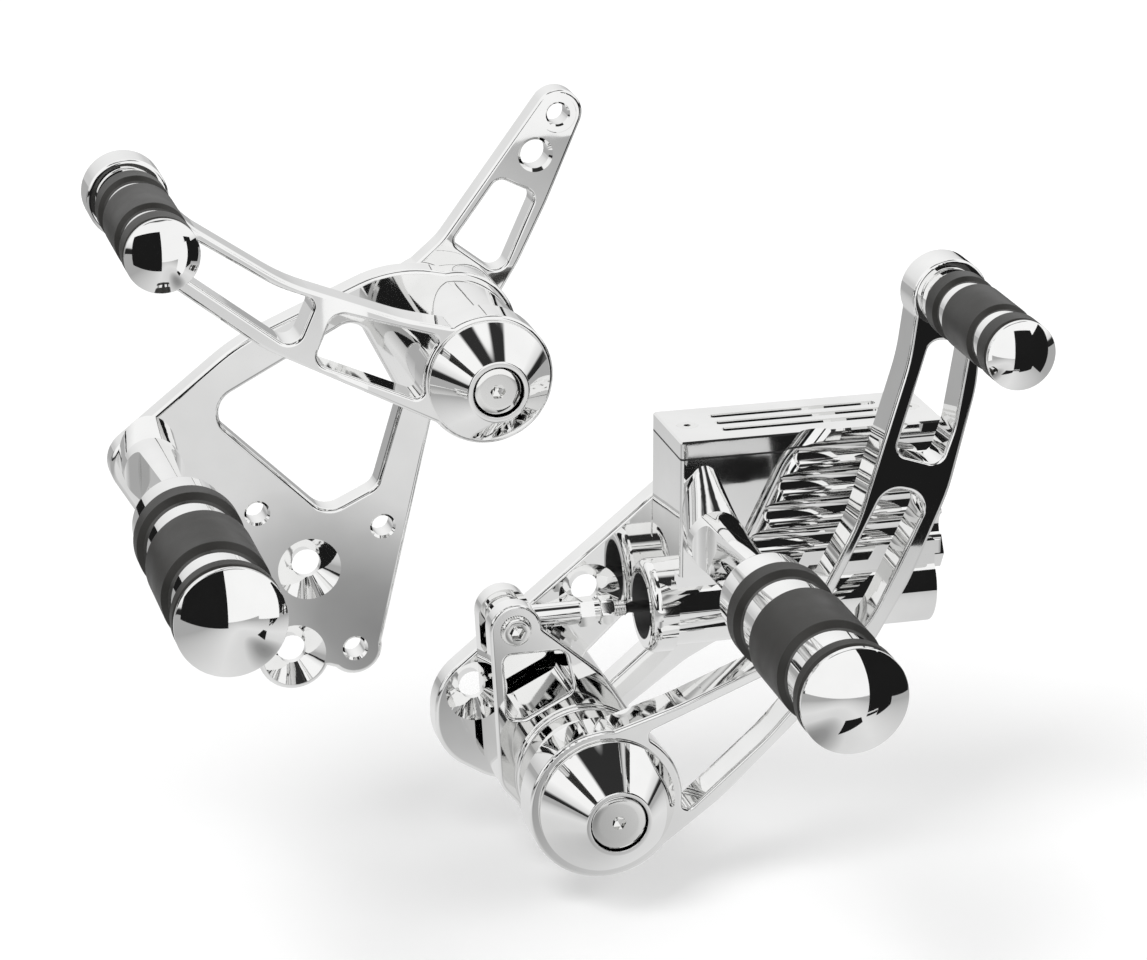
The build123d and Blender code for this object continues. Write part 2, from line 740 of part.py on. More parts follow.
save(inner_brake_lever, "inner_brake_lever")

with BuildPart() as brake_barrel:
    turned(
        brake_pivot,
        ((bushing_d / 2 + seat_gap, brake_lever_face, 0), (brake_ring_d / 2, brake_lever_face, 0.8),
         (brake_ring_d / 2, brake_lever_face + brake_ring_width, 0.8),
         (brake_barrel_d / 2, brake_lever_face + brake_ring_width, 0),
         (brake_barrel_d / 2, pedal_out, 0), (bushing_d / 2 + seat_gap, pedal_out, 0)),
    )
    with Locations(face_plane(brake_pivot, pedal_out)):
        with PolarLocations(dowel_circle_d / 2, 3, start_angle=90):
            Hole(dowel_pin / 2 + seat_gap)
save(brake_barrel, "brake_barrel")

dowel_bite = 8.0
with BuildPart() as brake_hub_dowels:
    with BuildSketch(face_plane(brake_pivot, brake_lever_face - dowel_bite)):
        with PolarLocations(dowel_circle_d / 2, 3, start_angle=90):
            Circle(dowel_pin / 2)
    extrude(amount=pedal_out - brake_lever_face + 2 * dowel_bite)
save(brake_hub_dowels, "brake_hub_dowels")

pedal_corners = (
    (2.0, 29.0, 0), (28.0, 36.8, 60), (71.3, 53.7, 35), (96.0, 102.5, 80), (114.0, 163.0, 80),
    (116.3, 181.0, 0), (143.3, 183.0, 0), (141.0, 151.0, 60), (131.5, 111.5, 70),
    (117.0, 77.0, 60), (103.5, 53.7, 25), (45.0, -2.5, 100), (21.5, -19.8, 0),
)
pedal_long_window = (
    (12.0, 25.5, 0), (75.0, 50.4, 30), (107.0, 115.5, 8), (124.5, 110.5, 8), (103.0, 65.0, 50),
    (62.0, 20.0, 90), (26.0, -11.2, 0),
)
pedal_upper_window = (
    (109.8, 127.5, 5), (127.5, 121.5, 5), (132.5, 136.0, 30), (137.8, 169.5, 5),
    (122.4, 170.8, 5),
)
with BuildPart() as brake_pedal:
    with BuildSketch(face_plane(brake_pivot, pedal_out)) as pedal_outline:
        rounded(pedal_corners)
        with Locations(toe_at_brake):
            Circle(pedal_tip_d / 2)
        rounded(pedal_long_window, mode=Mode.SUBTRACT)
        rounded(pedal_upper_window, mode=Mode.SUBTRACT)
        Circle(pedal_hub_d / 2)
        soften(pedal_outline, cutter_round)
    extrude(amount=pedal_thickness)
    fillet(brake_pedal.edges().group_by(Axis.Y)[0], radius=lever_edge_round)
    with Locations(face_plane(brake_pivot, pedal_face)):
        Hole(bushing_d / 2 + seat_gap)
        with Locations(toe_at_brake):
            Hole(toe_bolt_d / 2 + seat_gap)
    with Locations(-face_plane(brake_pivot, pedal_out)):
        with PolarLocations(dowel_circle_d / 2, 3, start_angle=-90):
            Hole(dowel_pin / 2 + seat_gap, dowel_bite + 1)
save(brake_pedal, "brake_pedal")

brake_cap_face = pedal_face + side_gap
with BuildPart() as brake_cap:
    cone_cap(
        brake_pivot, brake_cap_face, brake_cap_d, brake_cap_height, brake_screw_head, brake_cap_gap
    )
save(brake_cap, "brake_cap")

with BuildPart() as brake_cap_screw:
    flat_head_screw(
        brake_pivot,
        brake_cap_face + brake_cap_height - cap_recess_depth,
        brake_cap_height + screw_bite,
        brake_screw_head,
    )
save(brake_cap_screw, "brake_cap_screw")

# Master cylinder: body with its bore, neck and reservoir, on the brake bracket


def master_box(x_from, x_to, z_from, z_to, out_from, out_to, mode=Mode.ADD):
    """Square block of the master cylinder, placed from the brake pivot."""
    with BuildSketch(face_plane(brake_pivot, out_from)) as base:
        with Locations(((x_from + x_to) / 2, (z_from + z_to) / 2)):
            Rectangle(x_to - x_from, z_to - z_from)
    return extrude(base.sketch, amount=out_to - out_from, mode=mode)


def on_rod_line(x):
    """A place along the rod's line, given from the brake pivot."""
    return brake_pivot[0] + x


def front_milling():
    """Slanting channel up the front face, and the grooves that run from it to the right end."""
    channel_plane = face_plane(brake_pivot, body_front + channel_radius - channel_depth)
    with BuildLine(channel_plane) as path:
        FilletPolyline(*channel_path, radius=channel_bend)
    with BuildSketch(Plane(origin=path.line @ 0, z_dir=path.line % 0)) as cutter:
        Circle(channel_radius)
    sweep(cutter.sketch, path=path.line, mode=Mode.SUBTRACT)
    groove_out = body_front + groove_radius - groove_depth
    for x, height in groove_starts:
        z = brake_pivot[1] + height
        disc_along_x(
            on_rod_line(x), on_rod_line(body_right + 1), 2 * groove_radius, z, groove_out,
            mode=Mode.SUBTRACT,
        )
        with Locations((on_rod_line(x), -groove_out, z)):
            Sphere(groove_radius, mode=Mode.SUBTRACT)


def reservoir_block(z_from, z_to):
    """Upright block with the reservoir's outline, its corners slightly rounded."""
    middle = (
        on_rod_line((body_left + body_right) / 2),
        -(body_back + body_depth / 2),
        brake_pivot[1] + z_from,
    )
    with BuildSketch(Plane(origin=middle)) as base:
        RectangleRounded(body_right - body_left, body_depth, corner_round)
    return extrude(base.sketch, amount=z_to - z_from)


rod_z = brake_pivot[1] + rod_pin[1]
body_front = body_back + body_depth
mouth_left = body_left - mouth_width + 0.5
bore_from = body_left + 10.5
bore_to = body_right - 11.0
neck_front = rod_out + 12.0
plug_at = rod_pin[1] + plug_rise
plug_depth = 21.0
circlip_at = bore_from + 1.6
circlip_d = bore + 1.6

with BuildPart() as master_cylinder_body:
    reservoir_block(body_foot, body_top)
    master_box(body_left, body_right, rod_pin[1], body_foot + 3, body_back, neck_front)
    disc_along_x(
        on_rod_line(body_left), on_rod_line(body_right), cylinder_d, rod_z, rod_out
    )
    disc_along_x(
        on_rod_line(mouth_left), on_rod_line(body_left + 0.5), mouth_d, rod_z, rod_out
    )
    fillet(master_cylinder_body.faces().sort_by(Axis.X)[0].edges(), radius=mouth_round)
    front_milling()
    fanned_boss(
        about(brake_pivot, brake_peg_at), about(brake_pivot, brake_root_at), brake_root_half,
        body_front, brake_peg_out,
    )
    disc_along_x(
        on_rod_line(mouth_left), on_rod_line(bore_from), mouth_bore, rod_z, rod_out,
        mode=Mode.SUBTRACT,
    )
    disc_along_x(
        on_rod_line(bore_from), on_rod_line(bore_to), bore, rod_z, rod_out, mode=Mode.SUBTRACT
    )
    disc_along_x(
        on_rod_line(circlip_at - seat_gap), on_rod_line(circlip_at + circlip_width + seat_gap),
        circlip_d + 2 * seat_gap, rod_z, rod_out, mode=Mode.SUBTRACT,
    )
    disc_along_x(
        on_rod_line(body_right - plug_depth), on_rod_line(body_right + 1), port_thread + 2 * seat_gap,
        brake_pivot[1] + plug_at, rod_out, mode=Mode.SUBTRACT,
    )
    with Locations(face_plane(about(brake_pivot, brake_peg_at), brake_peg_out)):
        Hole(peg_stud_d / 2 + seat_gap, brake_stud_depth)
    with Locations(*[-face_plane(about(brake_pivot, at), body_back) for at in mount_screw_at]):
        Hole(mount_screw_d / 2 + seat_gap, mount_screw_reach - plate + 1)
    with Locations(*[
        Plane(origin=(on_rod_line(x), -rod_out, brake_pivot[1] + body_top))
        for x in (body_left + cover_screw_d, body_right - cover_screw_d)
    ]):
        Hole(cover_screw_d / 4 + seat_gap, cover_screw_length)
save(master_cylinder_body, "master_cylinder_body")


def cover_slab(z_from, z_to, edge=0):
    """Flat slab with the body's outline, the milling across it and its two screw holes."""
    slab = reservoir_block(z_from, z_to)
    if edge:
        chamfer(slab.faces().sort_by(Axis.Z)[-1].edges(), length=edge)
    front_milling()
    with Locations(*[
        Plane(origin=(on_rod_line(x), -rod_out, brake_pivot[1] + z_to))
        for x in (body_left + cover_screw_d, body_right - cover_screw_d)
    ]):
        Hole(cover_screw_d / 4 + seat_gap)


with BuildPart() as cover_gasket:
    cover_slab(body_top, body_top + gasket)
save(cover_gasket, "cover_gasket")

cover_top = body_top + gasket + cover_height
groove_row = (-8.0, 0.0, 8.0)
groove_length = 66.0
with BuildPart() as reservoir_cover:
    cover_slab(body_top + gasket, cover_top, cover_edge)
    top_plane = Plane(origin=(
        on_rod_line((body_left + body_right) / 2), -rod_out, brake_pivot[1] + cover_top
    ))
    with BuildSketch(top_plane):
        with Locations(*[(0, y) for y in groove_row]):
            SlotOverall(groove_length, cover_groove_width)
    extrude(amount=-cover_groove_depth, mode=Mode.SUBTRACT)
    with Locations(*[
        Plane(origin=(on_rod_line(x), -rod_out, brake_pivot[1] + cover_top))
        for x in (body_left + cover_screw_d, body_right - cover_screw_d)
    ]):
        CounterSinkHole(
            cover_screw_d / 4 + seat_gap, cover_screw_d / 2 + seat_gap,
            counter_sink_angle=sink_angle,
        )
save(reservoir_cover, "reservoir_cover")

with BuildPart() as cover_screws:
    for x in (body_left + cover_screw_d, body_right - cover_screw_d):
        screw_axis = Axis((on_rod_line(x), -rod_out, 0), (0, 0, 1))
        half = cover_screw_d / 2
        top = brake_pivot[1] + cover_top
        with BuildSketch(
            Plane(origin=(on_rod_line(x), -rod_out, 0), x_dir=(1, 0, 0), z_dir=(0, -1, 0))
        ) as section:
            rounded((
                (0, top, 0), (half, top, 0), (half / 2, top - half / 2, 0),
                (half / 2, top - cover_screw_length, 0), (0, top - cover_screw_length, 0),
            ))
        revolve(section.sketch, axis=screw_axis)
        with BuildSketch(Plane(origin=(on_rod_line(x), -rod_out, top))) as key:
            RegularPolygon(hex_key / 4, 6, major_radius=False)
        extrude(key.sketch, amount=-hex_depth / 2, mode=Mode.SUBTRACT)
save(cover_screws, "cover_screws")

with BuildPart() as cylinder_mounting_screws:
    for at in mount_screw_at:
        turned(
            about(brake_pivot, at),
            ((0, 0, 0), (mount_screw_head / 2 - seat_gap, 0, 0),
             (mount_screw_d / 2, (mount_screw_head - mount_screw_d) / 2, 0),
             (mount_screw_d / 2, mount_screw_reach, 0), (0, mount_screw_reach, 0)),
        )
        with BuildSketch(face_plane(about(brake_pivot, at), 0)) as key:
            RegularPolygon(hex_key * 0.4, 6, major_radius=False)
        extrude(key.sketch, amount=hex_depth, both=True, mode=Mode.SUBTRACT)
save(cylinder_mounting_screws, "cylinder_mounting_screws")

with BuildPart() as outlet_plug:
    plug_z = brake_pivot[1] + plug_at
    hex_along_x(
        on_rod_line(body_right), on_rod_line(body_right + plug_reach), plug_flats, plug_z, rod_out
    )
    disc_along_x(
        on_rod_line(body_right - plug_depth / 2), on_rod_line(body_right), port_thread,
        plug_z, rod_out,
    )
save(outlet_plug, "outlet_plug")

# Piston, its seals, stop ring and return spring

piston_from = circlip_at + circlip_width + 0.4
piston_to = piston_from + piston_length
piston_d = bore - 2 * running_gap
seal_groove_d = 14.0
seal_at = (piston_to - 16.0, piston_to - seal_width - 3.4)
tip_centre = rod_pin[0] + rod_length
spring_seat_d = 9.0
spring_seat = 5.0
with BuildPart() as piston:
    disc_along_x(on_rod_line(piston_from), on_rod_line(piston_to), piston_d, rod_z, rod_out)
    disc_along_x(
        on_rod_line(piston_to), on_rod_line(piston_to + spring_seat), spring_seat_d, rod_z, rod_out
    )
    disc_along_x(
        on_rod_line(piston_from), on_rod_line(tip_centre), rod_tip_d + 4, rod_z, rod_out,
        mode=Mode.SUBTRACT,
    )
    with Locations((on_rod_line(tip_centre), -rod_out, rod_z)):
        Sphere(rod_tip_d / 2 + rod_tip_gap, mode=Mode.SUBTRACT)
    for at in seal_at:
        with BuildSketch(rod_plane(on_rod_line(at), rod_z, rod_out)) as groove:
            Circle(piston_d)
            Circle(seal_groove_d / 2, mode=Mode.SUBTRACT)
        extrude(groove.sketch, amount=seal_width, mode=Mode.SUBTRACT)
save(piston, "piston")

with BuildPart() as piston_seals:
    for at in seal_at:
        with BuildSketch(rod_plane(on_rod_line(at + seat_gap), rod_z, rod_out)) as ring:
            Circle(piston_d / 2)
            Circle(seal_groove_d / 2 + seat_gap, mode=Mode.SUBTRACT)
        extrude(ring.sketch, amount=seal_width - 2 * seat_gap)
save(piston_seals, "piston_seals")

with BuildPart() as piston_stop_ring:
    with BuildSketch(rod_plane(on_rod_line(circlip_at), rod_z, rod_out)):
        Circle(circlip_d / 2)
        Circle(bore / 2 - 2.5, mode=Mode.SUBTRACT)
        with Locations((0, -bore / 2)):
            Rectangle(3, bore / 2, mode=Mode.SUBTRACT)
    extrude(amount=circlip_width)
save(piston_stop_ring, "piston_stop_ring")

spring_d = 14.0
spring_from = piston_to + spring_wire / 2 + seat_gap
spring_to = bore_to - spring_wire / 2 - seat_gap
with BuildPart() as return_spring:
    with BuildLine() as coil:
        Helix(
            (spring_to - spring_from) / spring_turns, spring_to - spring_from, spring_d / 2,
            center=(on_rod_line(spring_from), -rod_out, rod_z), direction=(1, 0, 0),
        )
    with BuildSketch(Plane(origin=coil.line @ 0, z_dir=coil.line % 0)):
        Circle(spring_wire / 2)
    sweep()
save(return_spring, "return_spring")

# Push rod with its adjustable end, pinned in the inner lever's fork

pin_x = rod_pin[0]
hex_end = pin_x + rod_hex_from + rod_hex_width
rod_start = pin_x + rod_eye_d / 2 + rod_d
with BuildPart() as rod_end:
    turned(
        about(brake_pivot, rod_pin),
        ((0, rod_out - rod_eye_width / 2, 0), (rod_eye_d / 2, rod_out - rod_eye_width / 2, 0.8),
         (rod_eye_d / 2, rod_out + rod_eye_width / 2, 0.8), (0, rod_out + rod_eye_width / 2, 0)),
    )
    disc_along_x(
        on_rod_line(pin_x), on_rod_line(pin_x + rod_hex_from), rod_end_shank_d, rod_z, rod_out
    )
    hex_along_x(
        on_rod_line(pin_x + rod_hex_from), on_rod_line(hex_end), nut_flats, rod_z, rod_out
    )
    with Locations(face_plane(about(brake_pivot, rod_pin), rod_out)):
        Hole(rod_pin_d / 2 + running_gap)
    disc_along_x(
        on_rod_line(rod_start), on_rod_line(hex_end), rod_d + 2 * seat_gap, rod_z, rod_out,
        mode=Mode.SUBTRACT,
    )
save(rod_end, "rod_end")

with BuildPart() as push_rod:
    disc_along_x(on_rod_line(rod_start), on_rod_line(tip_centre), rod_d, rod_z, rod_out)
    with Locations((on_rod_line(tip_centre), -rod_out, rod_z)):
        Sphere(rod_tip_d / 2)
save(push_rod, "push_rod")

nut_from = hex_end + seat_gap
with BuildPart() as push_rod_jam_nut:
    disc_along_x(
        on_rod_line(nut_from), on_rod_line(nut_from + nut_collar), nut_flats * 0.9, rod_z, rod_out
    )
    hex_along_x(
        on_rod_line(nut_from + nut_collar), on_rod_line(nut_from + nut_collar + nut_width),
        nut_flats, rod_z, rod_out,
    )
    disc_along_x(
        on_rod_line(nut_from), on_rod_line(nut_from + nut_collar + nut_width),
        rod_d + 2 * seat_gap, rod_z, rod_out, mode=Mode.SUBTRACT,
    )
save(push_rod_jam_nut, "push_rod_jam_nut")

pin_head_height = 6.0
pin_head_depth = 4.0
with BuildPart() as rod_end_screw:
    turned(
        about(brake_pivot, rod_pin),
        ((0, brake_lever_out, 0), (rod_pin_d / 2, brake_lever_out, 0.5),
         (rod_pin_d / 2, brake_lever_face - pin_head_depth, 0),
         (rod_head_d / 2, brake_lever_face - pin_head_depth, 0),
         (rod_head_d / 2, brake_lever_face - pin_head_depth + pin_head_height, 0.8),
         (0, brake_lever_face - pin_head_depth + pin_head_height, 0)),
    )
    with BuildSketch(
        face_plane(about(brake_pivot, rod_pin), brake_lever_face - pin_head_depth + pin_head_height)
    ) as key:
        RegularPolygon(hex_key / 2, 6, major_radius=False)
    extrude(key.sketch, amount=hex_depth, both=True, mode=Mode.SUBTRACT)
save(rod_end_screw, "rod_end_screw")
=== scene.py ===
# %% [markdown]
# # Motorcycle forward controls
#
# The object is a pair of foot controls for a motorcycle: a gear shift unit on the left and a
# rear brake unit with its master cylinder on the right. Nearly all of it is billet metal that
# was polished and chromed, with bands of black rubber where the boots rest. The shapes come
# from the imported CAD model, which this file never moves. What is left to do here is the light,
# the finishes, the camera, and finer meshes for a few small turned pieces.
#
# Loading comes first, because the places below are read from the model. The joints are kept by
# name, because the turned pieces sit on their lines. The box of the model is kept too.

import json
from math import radians

import bpy
from mathutils import Matrix, Vector


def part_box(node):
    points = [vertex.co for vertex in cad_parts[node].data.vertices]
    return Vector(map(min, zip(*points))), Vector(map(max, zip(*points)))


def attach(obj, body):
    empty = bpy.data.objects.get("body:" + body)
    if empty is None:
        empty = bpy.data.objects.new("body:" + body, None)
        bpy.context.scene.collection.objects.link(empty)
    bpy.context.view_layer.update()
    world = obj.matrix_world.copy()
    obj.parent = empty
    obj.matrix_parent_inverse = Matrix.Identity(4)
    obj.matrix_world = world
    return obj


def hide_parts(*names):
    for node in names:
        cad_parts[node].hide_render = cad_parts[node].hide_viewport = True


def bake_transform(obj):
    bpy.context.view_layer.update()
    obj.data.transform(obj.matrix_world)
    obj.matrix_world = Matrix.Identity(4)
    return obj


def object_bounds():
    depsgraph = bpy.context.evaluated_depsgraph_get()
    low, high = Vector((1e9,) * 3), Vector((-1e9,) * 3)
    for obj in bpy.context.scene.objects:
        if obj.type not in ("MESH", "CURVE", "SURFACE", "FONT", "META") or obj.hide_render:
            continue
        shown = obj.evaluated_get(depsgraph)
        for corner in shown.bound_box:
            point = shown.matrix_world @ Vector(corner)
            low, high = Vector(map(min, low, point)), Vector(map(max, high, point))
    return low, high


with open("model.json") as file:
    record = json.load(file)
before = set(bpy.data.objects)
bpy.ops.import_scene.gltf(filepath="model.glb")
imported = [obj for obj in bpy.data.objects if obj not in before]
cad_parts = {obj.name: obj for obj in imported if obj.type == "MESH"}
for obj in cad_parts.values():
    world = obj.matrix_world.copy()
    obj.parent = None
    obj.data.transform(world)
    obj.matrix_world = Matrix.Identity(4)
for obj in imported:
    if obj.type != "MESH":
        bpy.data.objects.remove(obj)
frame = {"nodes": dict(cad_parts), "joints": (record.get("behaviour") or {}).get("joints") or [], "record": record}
nodes = frame["nodes"]
joint_at = {joint["name"]: Vector(joint["pos_m"]) for joint in frame["joints"] if "pos_m" in joint}
cad_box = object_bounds()
lowest = cad_box[0].z
middle = (cad_box[0] + cad_box[1]) / 2
print("nodes", len(nodes), "size", [round(n, 4) for n in cad_box[1] - cad_box[0]])

# %% [markdown]
# ## Camera
#
# The photograph looks down on the controls from in front and a little to the left. One camera
# was worked out for both units, from the edges that run straight towards it. It is a long
# lens from a metre and a half away, so the pegs nearest to it grow only a little. A camera can
# be aimed at a target with a constraint, but here its two angles are known and no target is.
# So it is set from its turn, its drop and its place, which needs no aiming.

# %% Set the camera
camera_data = bpy.data.cameras.new("studio_camera")
camera = bpy.data.objects.new("studio_camera", camera_data)
bpy.context.scene.collection.objects.link(camera)
bpy.context.scene.camera = camera
bpy.context.scene.view_settings.view_transform = "Standard"
camera_data.sensor_width = 36
camera_data.lens = 125.4
camera_turn = radians(15)
camera_drop = radians(19.5)
camera_place = Vector((-0.3302, -1.3846, 0.5862))
camera.matrix_world = (
    Matrix.Translation(camera_place)
    @ Matrix.Rotation(-camera_turn, 4, "Z")
    @ Matrix.Rotation(radians(90) - camera_drop, 4, "X")
)
camera_data.clip_start = 0.1
camera_data.clip_end = 50
print("camera distance", round(camera_place.length, 3))

# %% [markdown]
# ## Helpers for node trees
#
# A room, a floor and a finish are all trees of nodes joined by links. They can be drawn by
# hand in the shader editor, but a script is easier to read when the steps that come back are
# written once. The first ones plug a value in and do sums with it.

# %% Helpers for values in a node tree


def grey(tone):
    """A grey as a colour socket wants it."""
    return (tone, tone, tone, 1)


def plug(tree, value, socket):
    """Link another node's output to a socket, or set a plain value on it."""
    if isinstance(value, bpy.types.NodeSocket):
        tree.links.new(value, socket)
    else:
        socket.default_value = value


def worked_out(tree, kind, operation, *values):
    """The node of one sum on numbers or vectors."""
    node = tree.nodes.new(kind)
    node.operation = operation
    for value, socket in zip(values, node.inputs):
        plug(tree, value, socket)
    return node


def number_sum(tree, operation, first, second):
    """One sum on two numbers."""
    return worked_out(tree, "ShaderNodeMath", operation, first, second).outputs[0]


def distance_from(tree, place, centre, stretch):
    """Distance of a place from a centre, with each direction stretched."""
    kind = "ShaderNodeVectorMath"
    apart = worked_out(tree, kind, "SUBTRACT", place, centre).outputs["Vector"]
    stretched = worked_out(tree, kind, "MULTIPLY", apart, stretch).outputs["Vector"]
    return worked_out(tree, kind, "LENGTH", stretched).outputs["Value"]


def ranged(tree, value, start, end, low, high):
    """Stretch a value so that start to end becomes low to high."""
    scale = tree.nodes.new("ShaderNodeMapRange")
    for name, bound in (("From Min", start), ("From Max", end), ("To Min", low), ("To Max", high)):
        scale.inputs[name].default_value = bound
    tree.links.new(value, scale.inputs["Value"])
    return scale.outputs["Result"]


print("mid grey", grey(0.5))

# %% [markdown]
# The other steps turn values into light. A colour ramp looks a tone up by a value, and the two
# mixes choose between colours or between whole shaders. Light that comes from a sheet or from
# the sky itself needs no lamp.

# %% Helpers for colours and shaders


def toned(tree, value, tones):
    """A grey that depends on a value from 0 to 1, by (value, tone) pairs."""
    ramp = tree.nodes.new("ShaderNodeValToRGB")
    tree.links.new(value, ramp.inputs["Fac"])
    # A new ramp already has two stops, so only the later ones are added.
    for index, (place, tone) in enumerate(tones):
        if index < 2:
            stop = ramp.color_ramp.elements[index]
            stop.position = place
        else:
            stop = ramp.color_ramp.elements.new(place)
        stop.color = grey(tone)
    return ramp.outputs["Color"]


def mixed_colours(tree, share, first, second):
    """A colour between two others."""
    mix = tree.nodes.new("ShaderNodeMix")
    mix.data_type = "RGBA"
    plug(tree, share, mix.inputs["Factor"])
    plug(tree, first, mix.inputs["A"])
    plug(tree, second, mix.inputs["B"])
    return mix.outputs["Result"]


def mixed_shaders(tree, share, when_not, when):
    """Pick between two shaders, most often by the kind of ray that asks."""
    mix = tree.nodes.new("ShaderNodeMixShader")
    tree.links.new(share, mix.inputs["Fac"])
    tree.links.new(when_not, mix.inputs[1])
    tree.links.new(when, mix.inputs[2])
    return mix.outputs[0]


def glowing(tree, kind, colour, strength=1.0):
    """Light that needs no lamp."""
    shade = tree.nodes.new(kind)
    plug(tree, colour, shade.inputs["Color"])
    plug(tree, strength, shade.inputs["Strength"])
    return shade.outputs[0]


sky_light = "ShaderNodeBackground"
sheet_light = "ShaderNodeEmission"
print("lights without a lamp", sky_light, sheet_light)

# %% [markdown]
# ## The room
#
# A mirror shows its surroundings, so for chrome the room is as much a part of the finish as
# the metal. The photograph was taken in a white tent, and its background is pure white. A
# studio picture could be wrapped round the scene, but this file holds no pictures, and a few
# tones of cloth are enough.
#
# The world has three jobs, and the Light Path node tells them apart. To the camera it is plain
# white. The light that it sheds on the rubber is softer. A mirror sees the tent. So the first
# cell asks what kind of ray arrives, and which way it points.

# %% Start the world
world = bpy.data.worlds.new("white_tent")
bpy.context.scene.world = world
world.use_nodes = True
sky = world.node_tree
sky.nodes.clear()
ray = sky.nodes.new("ShaderNodeLightPath")
direction = sky.nodes.new("ShaderNodeTexCoord")
pointing = sky.nodes.new("ShaderNodeSeparateXYZ")
sky.links.new(direction.outputs["Generated"], pointing.inputs["Vector"])
upward = pointing.outputs["Z"]
backward = pointing.outputs["Y"]
print("world", world.name)

# %% [markdown]
# The tent's cloth begins above a dark gap at the horizon and ends in a dark ring round the
# lamp overhead. The gap and the ring give the edges of the chrome a dark line. Behind the
# object the cloth reaches down to the floor, as the light top edges of the levers show. Each
# pair is how steeply a ray climbs, from 0 for level to 1 for straight up, and the tone there.

# %% Set the tones of the tent
tent_tones = (
    (0.0, 0.02), (0.05, 0.03), (0.1, 0.75), (0.3, 1.0), (0.85, 1.0), (0.88, 0.03), (0.975, 0.03),
    (0.985, 1.0),
)
back_tones = (
    (0.0, 0.62), (0.12, 0.8), (0.5, 1.0), (0.89, 1.0), (0.9, 0.3), (0.92, 0.3), (0.93, 1.0),
)
high_up = number_sum(sky, "GREATER_THAN", upward, 0.5)
high_and_back = number_sum(sky, "MULTIPLY", high_up, ranged(sky, backward, -0.05, 0.1, 0, 1))
behind = number_sum(sky, "MAXIMUM", high_and_back, ranged(sky, backward, 0.3, 0.5, 0, 1))
tent_cloth = mixed_colours(
    sky, behind, toned(sky, upward, tent_tones), toned(sky, upward, back_tones)
)
print("tones", len(tent_tones), "in front and", len(back_tones), "behind")

# %% [markdown]
# Three choices in a row give each kind of ray its own room. The last one is the camera's,
# because it has to win over the others.

# %% Join the sky
white_background = glowing(sky, sky_light, grey(1))
on_rubber = glowing(sky, sky_light, grey(1), 0.6)
in_mirror = glowing(sky, sky_light, tent_cloth)
lit_or_mirror = mixed_shaders(sky, ray.outputs["Is Glossy Ray"], on_rubber, in_mirror)
or_through = mixed_shaders(
    sky, ray.outputs["Is Transmission Ray"], lit_or_mirror, white_background
)
room = mixed_shaders(sky, ray.outputs["Is Camera Ray"], or_through, white_background)
sky_output = sky.nodes.new("ShaderNodeOutputWorld")
sky.links.new(room, sky_output.inputs["Surface"])
print("nodes in the sky", len(sky.nodes))

# %% [markdown]
# ## Floor
#
# The floor is a pale sheet just below the controls. Every material here starts from an empty
# tree, because Blender's ready-made shader isn't always the one that is wanted.

# %% Helpers for materials and sheets


def new_material(name):
    """A new material and its empty tree."""
    material = bpy.data.materials.new(name)
    material.use_nodes = True
    tree = material.node_tree
    tree.nodes.clear()
    return material, tree


def show(tree, shader):
    """End a material's tree in one shader."""
    output = tree.nodes.new("ShaderNodeOutputMaterial")
    tree.links.new(shader, output.inputs["Surface"])


def sheet(name, material, corners):
    """A flat sheet between its corners."""
    mesh = bpy.data.meshes.new(name)
    mesh.from_pydata(corners, [], [tuple(range(len(corners)))])
    mesh.materials.append(material)
    piece = bpy.data.objects.new(name, mesh)
    bpy.context.scene.collection.objects.link(piece)
    return piece


floor_drop = 0.012
floor_level = lowest - floor_drop
floor_cloth, floor_tree = new_material("floor_cloth")
floor_ray = floor_tree.nodes.new("ShaderNodeLightPath")
floor_place = floor_tree.nodes.new("ShaderNodeTexCoord").outputs["Object"]
print("floor at", round(floor_level, 4))

# %% [markdown]
# The photograph's background is pure white. A brighter lamp would whiten the floor, but it
# would bleach the rubber too. So to the camera alone the sheet also glows a little, more so far
# away, which takes it to white but leaves the soft shadow under the object.

# %% Make the floor that the camera sees
glow_steps = ((0.2, 0.22), (0.6, 0.38), (1.0, 0.5))
from_object = distance_from(floor_tree, floor_place, (0, 0, floor_level), (1, 1, 1))
cloth_glow = glowing(
    floor_tree,
    sheet_light,
    toned(floor_tree, from_object, glow_steps),
    floor_ray.outputs["Is Camera Ray"],
)
lit_cloth = floor_tree.nodes.new("ShaderNodeBsdfDiffuse")
lit_cloth.inputs["Color"].default_value = grey(0.8)
seen_floor = floor_tree.nodes.new("ShaderNodeAddShader")
floor_tree.links.new(lit_cloth.outputs[0], seen_floor.inputs[0])
floor_tree.links.new(cloth_glow, seen_floor.inputs[1])
print("glow far away", glow_steps[-1][1])
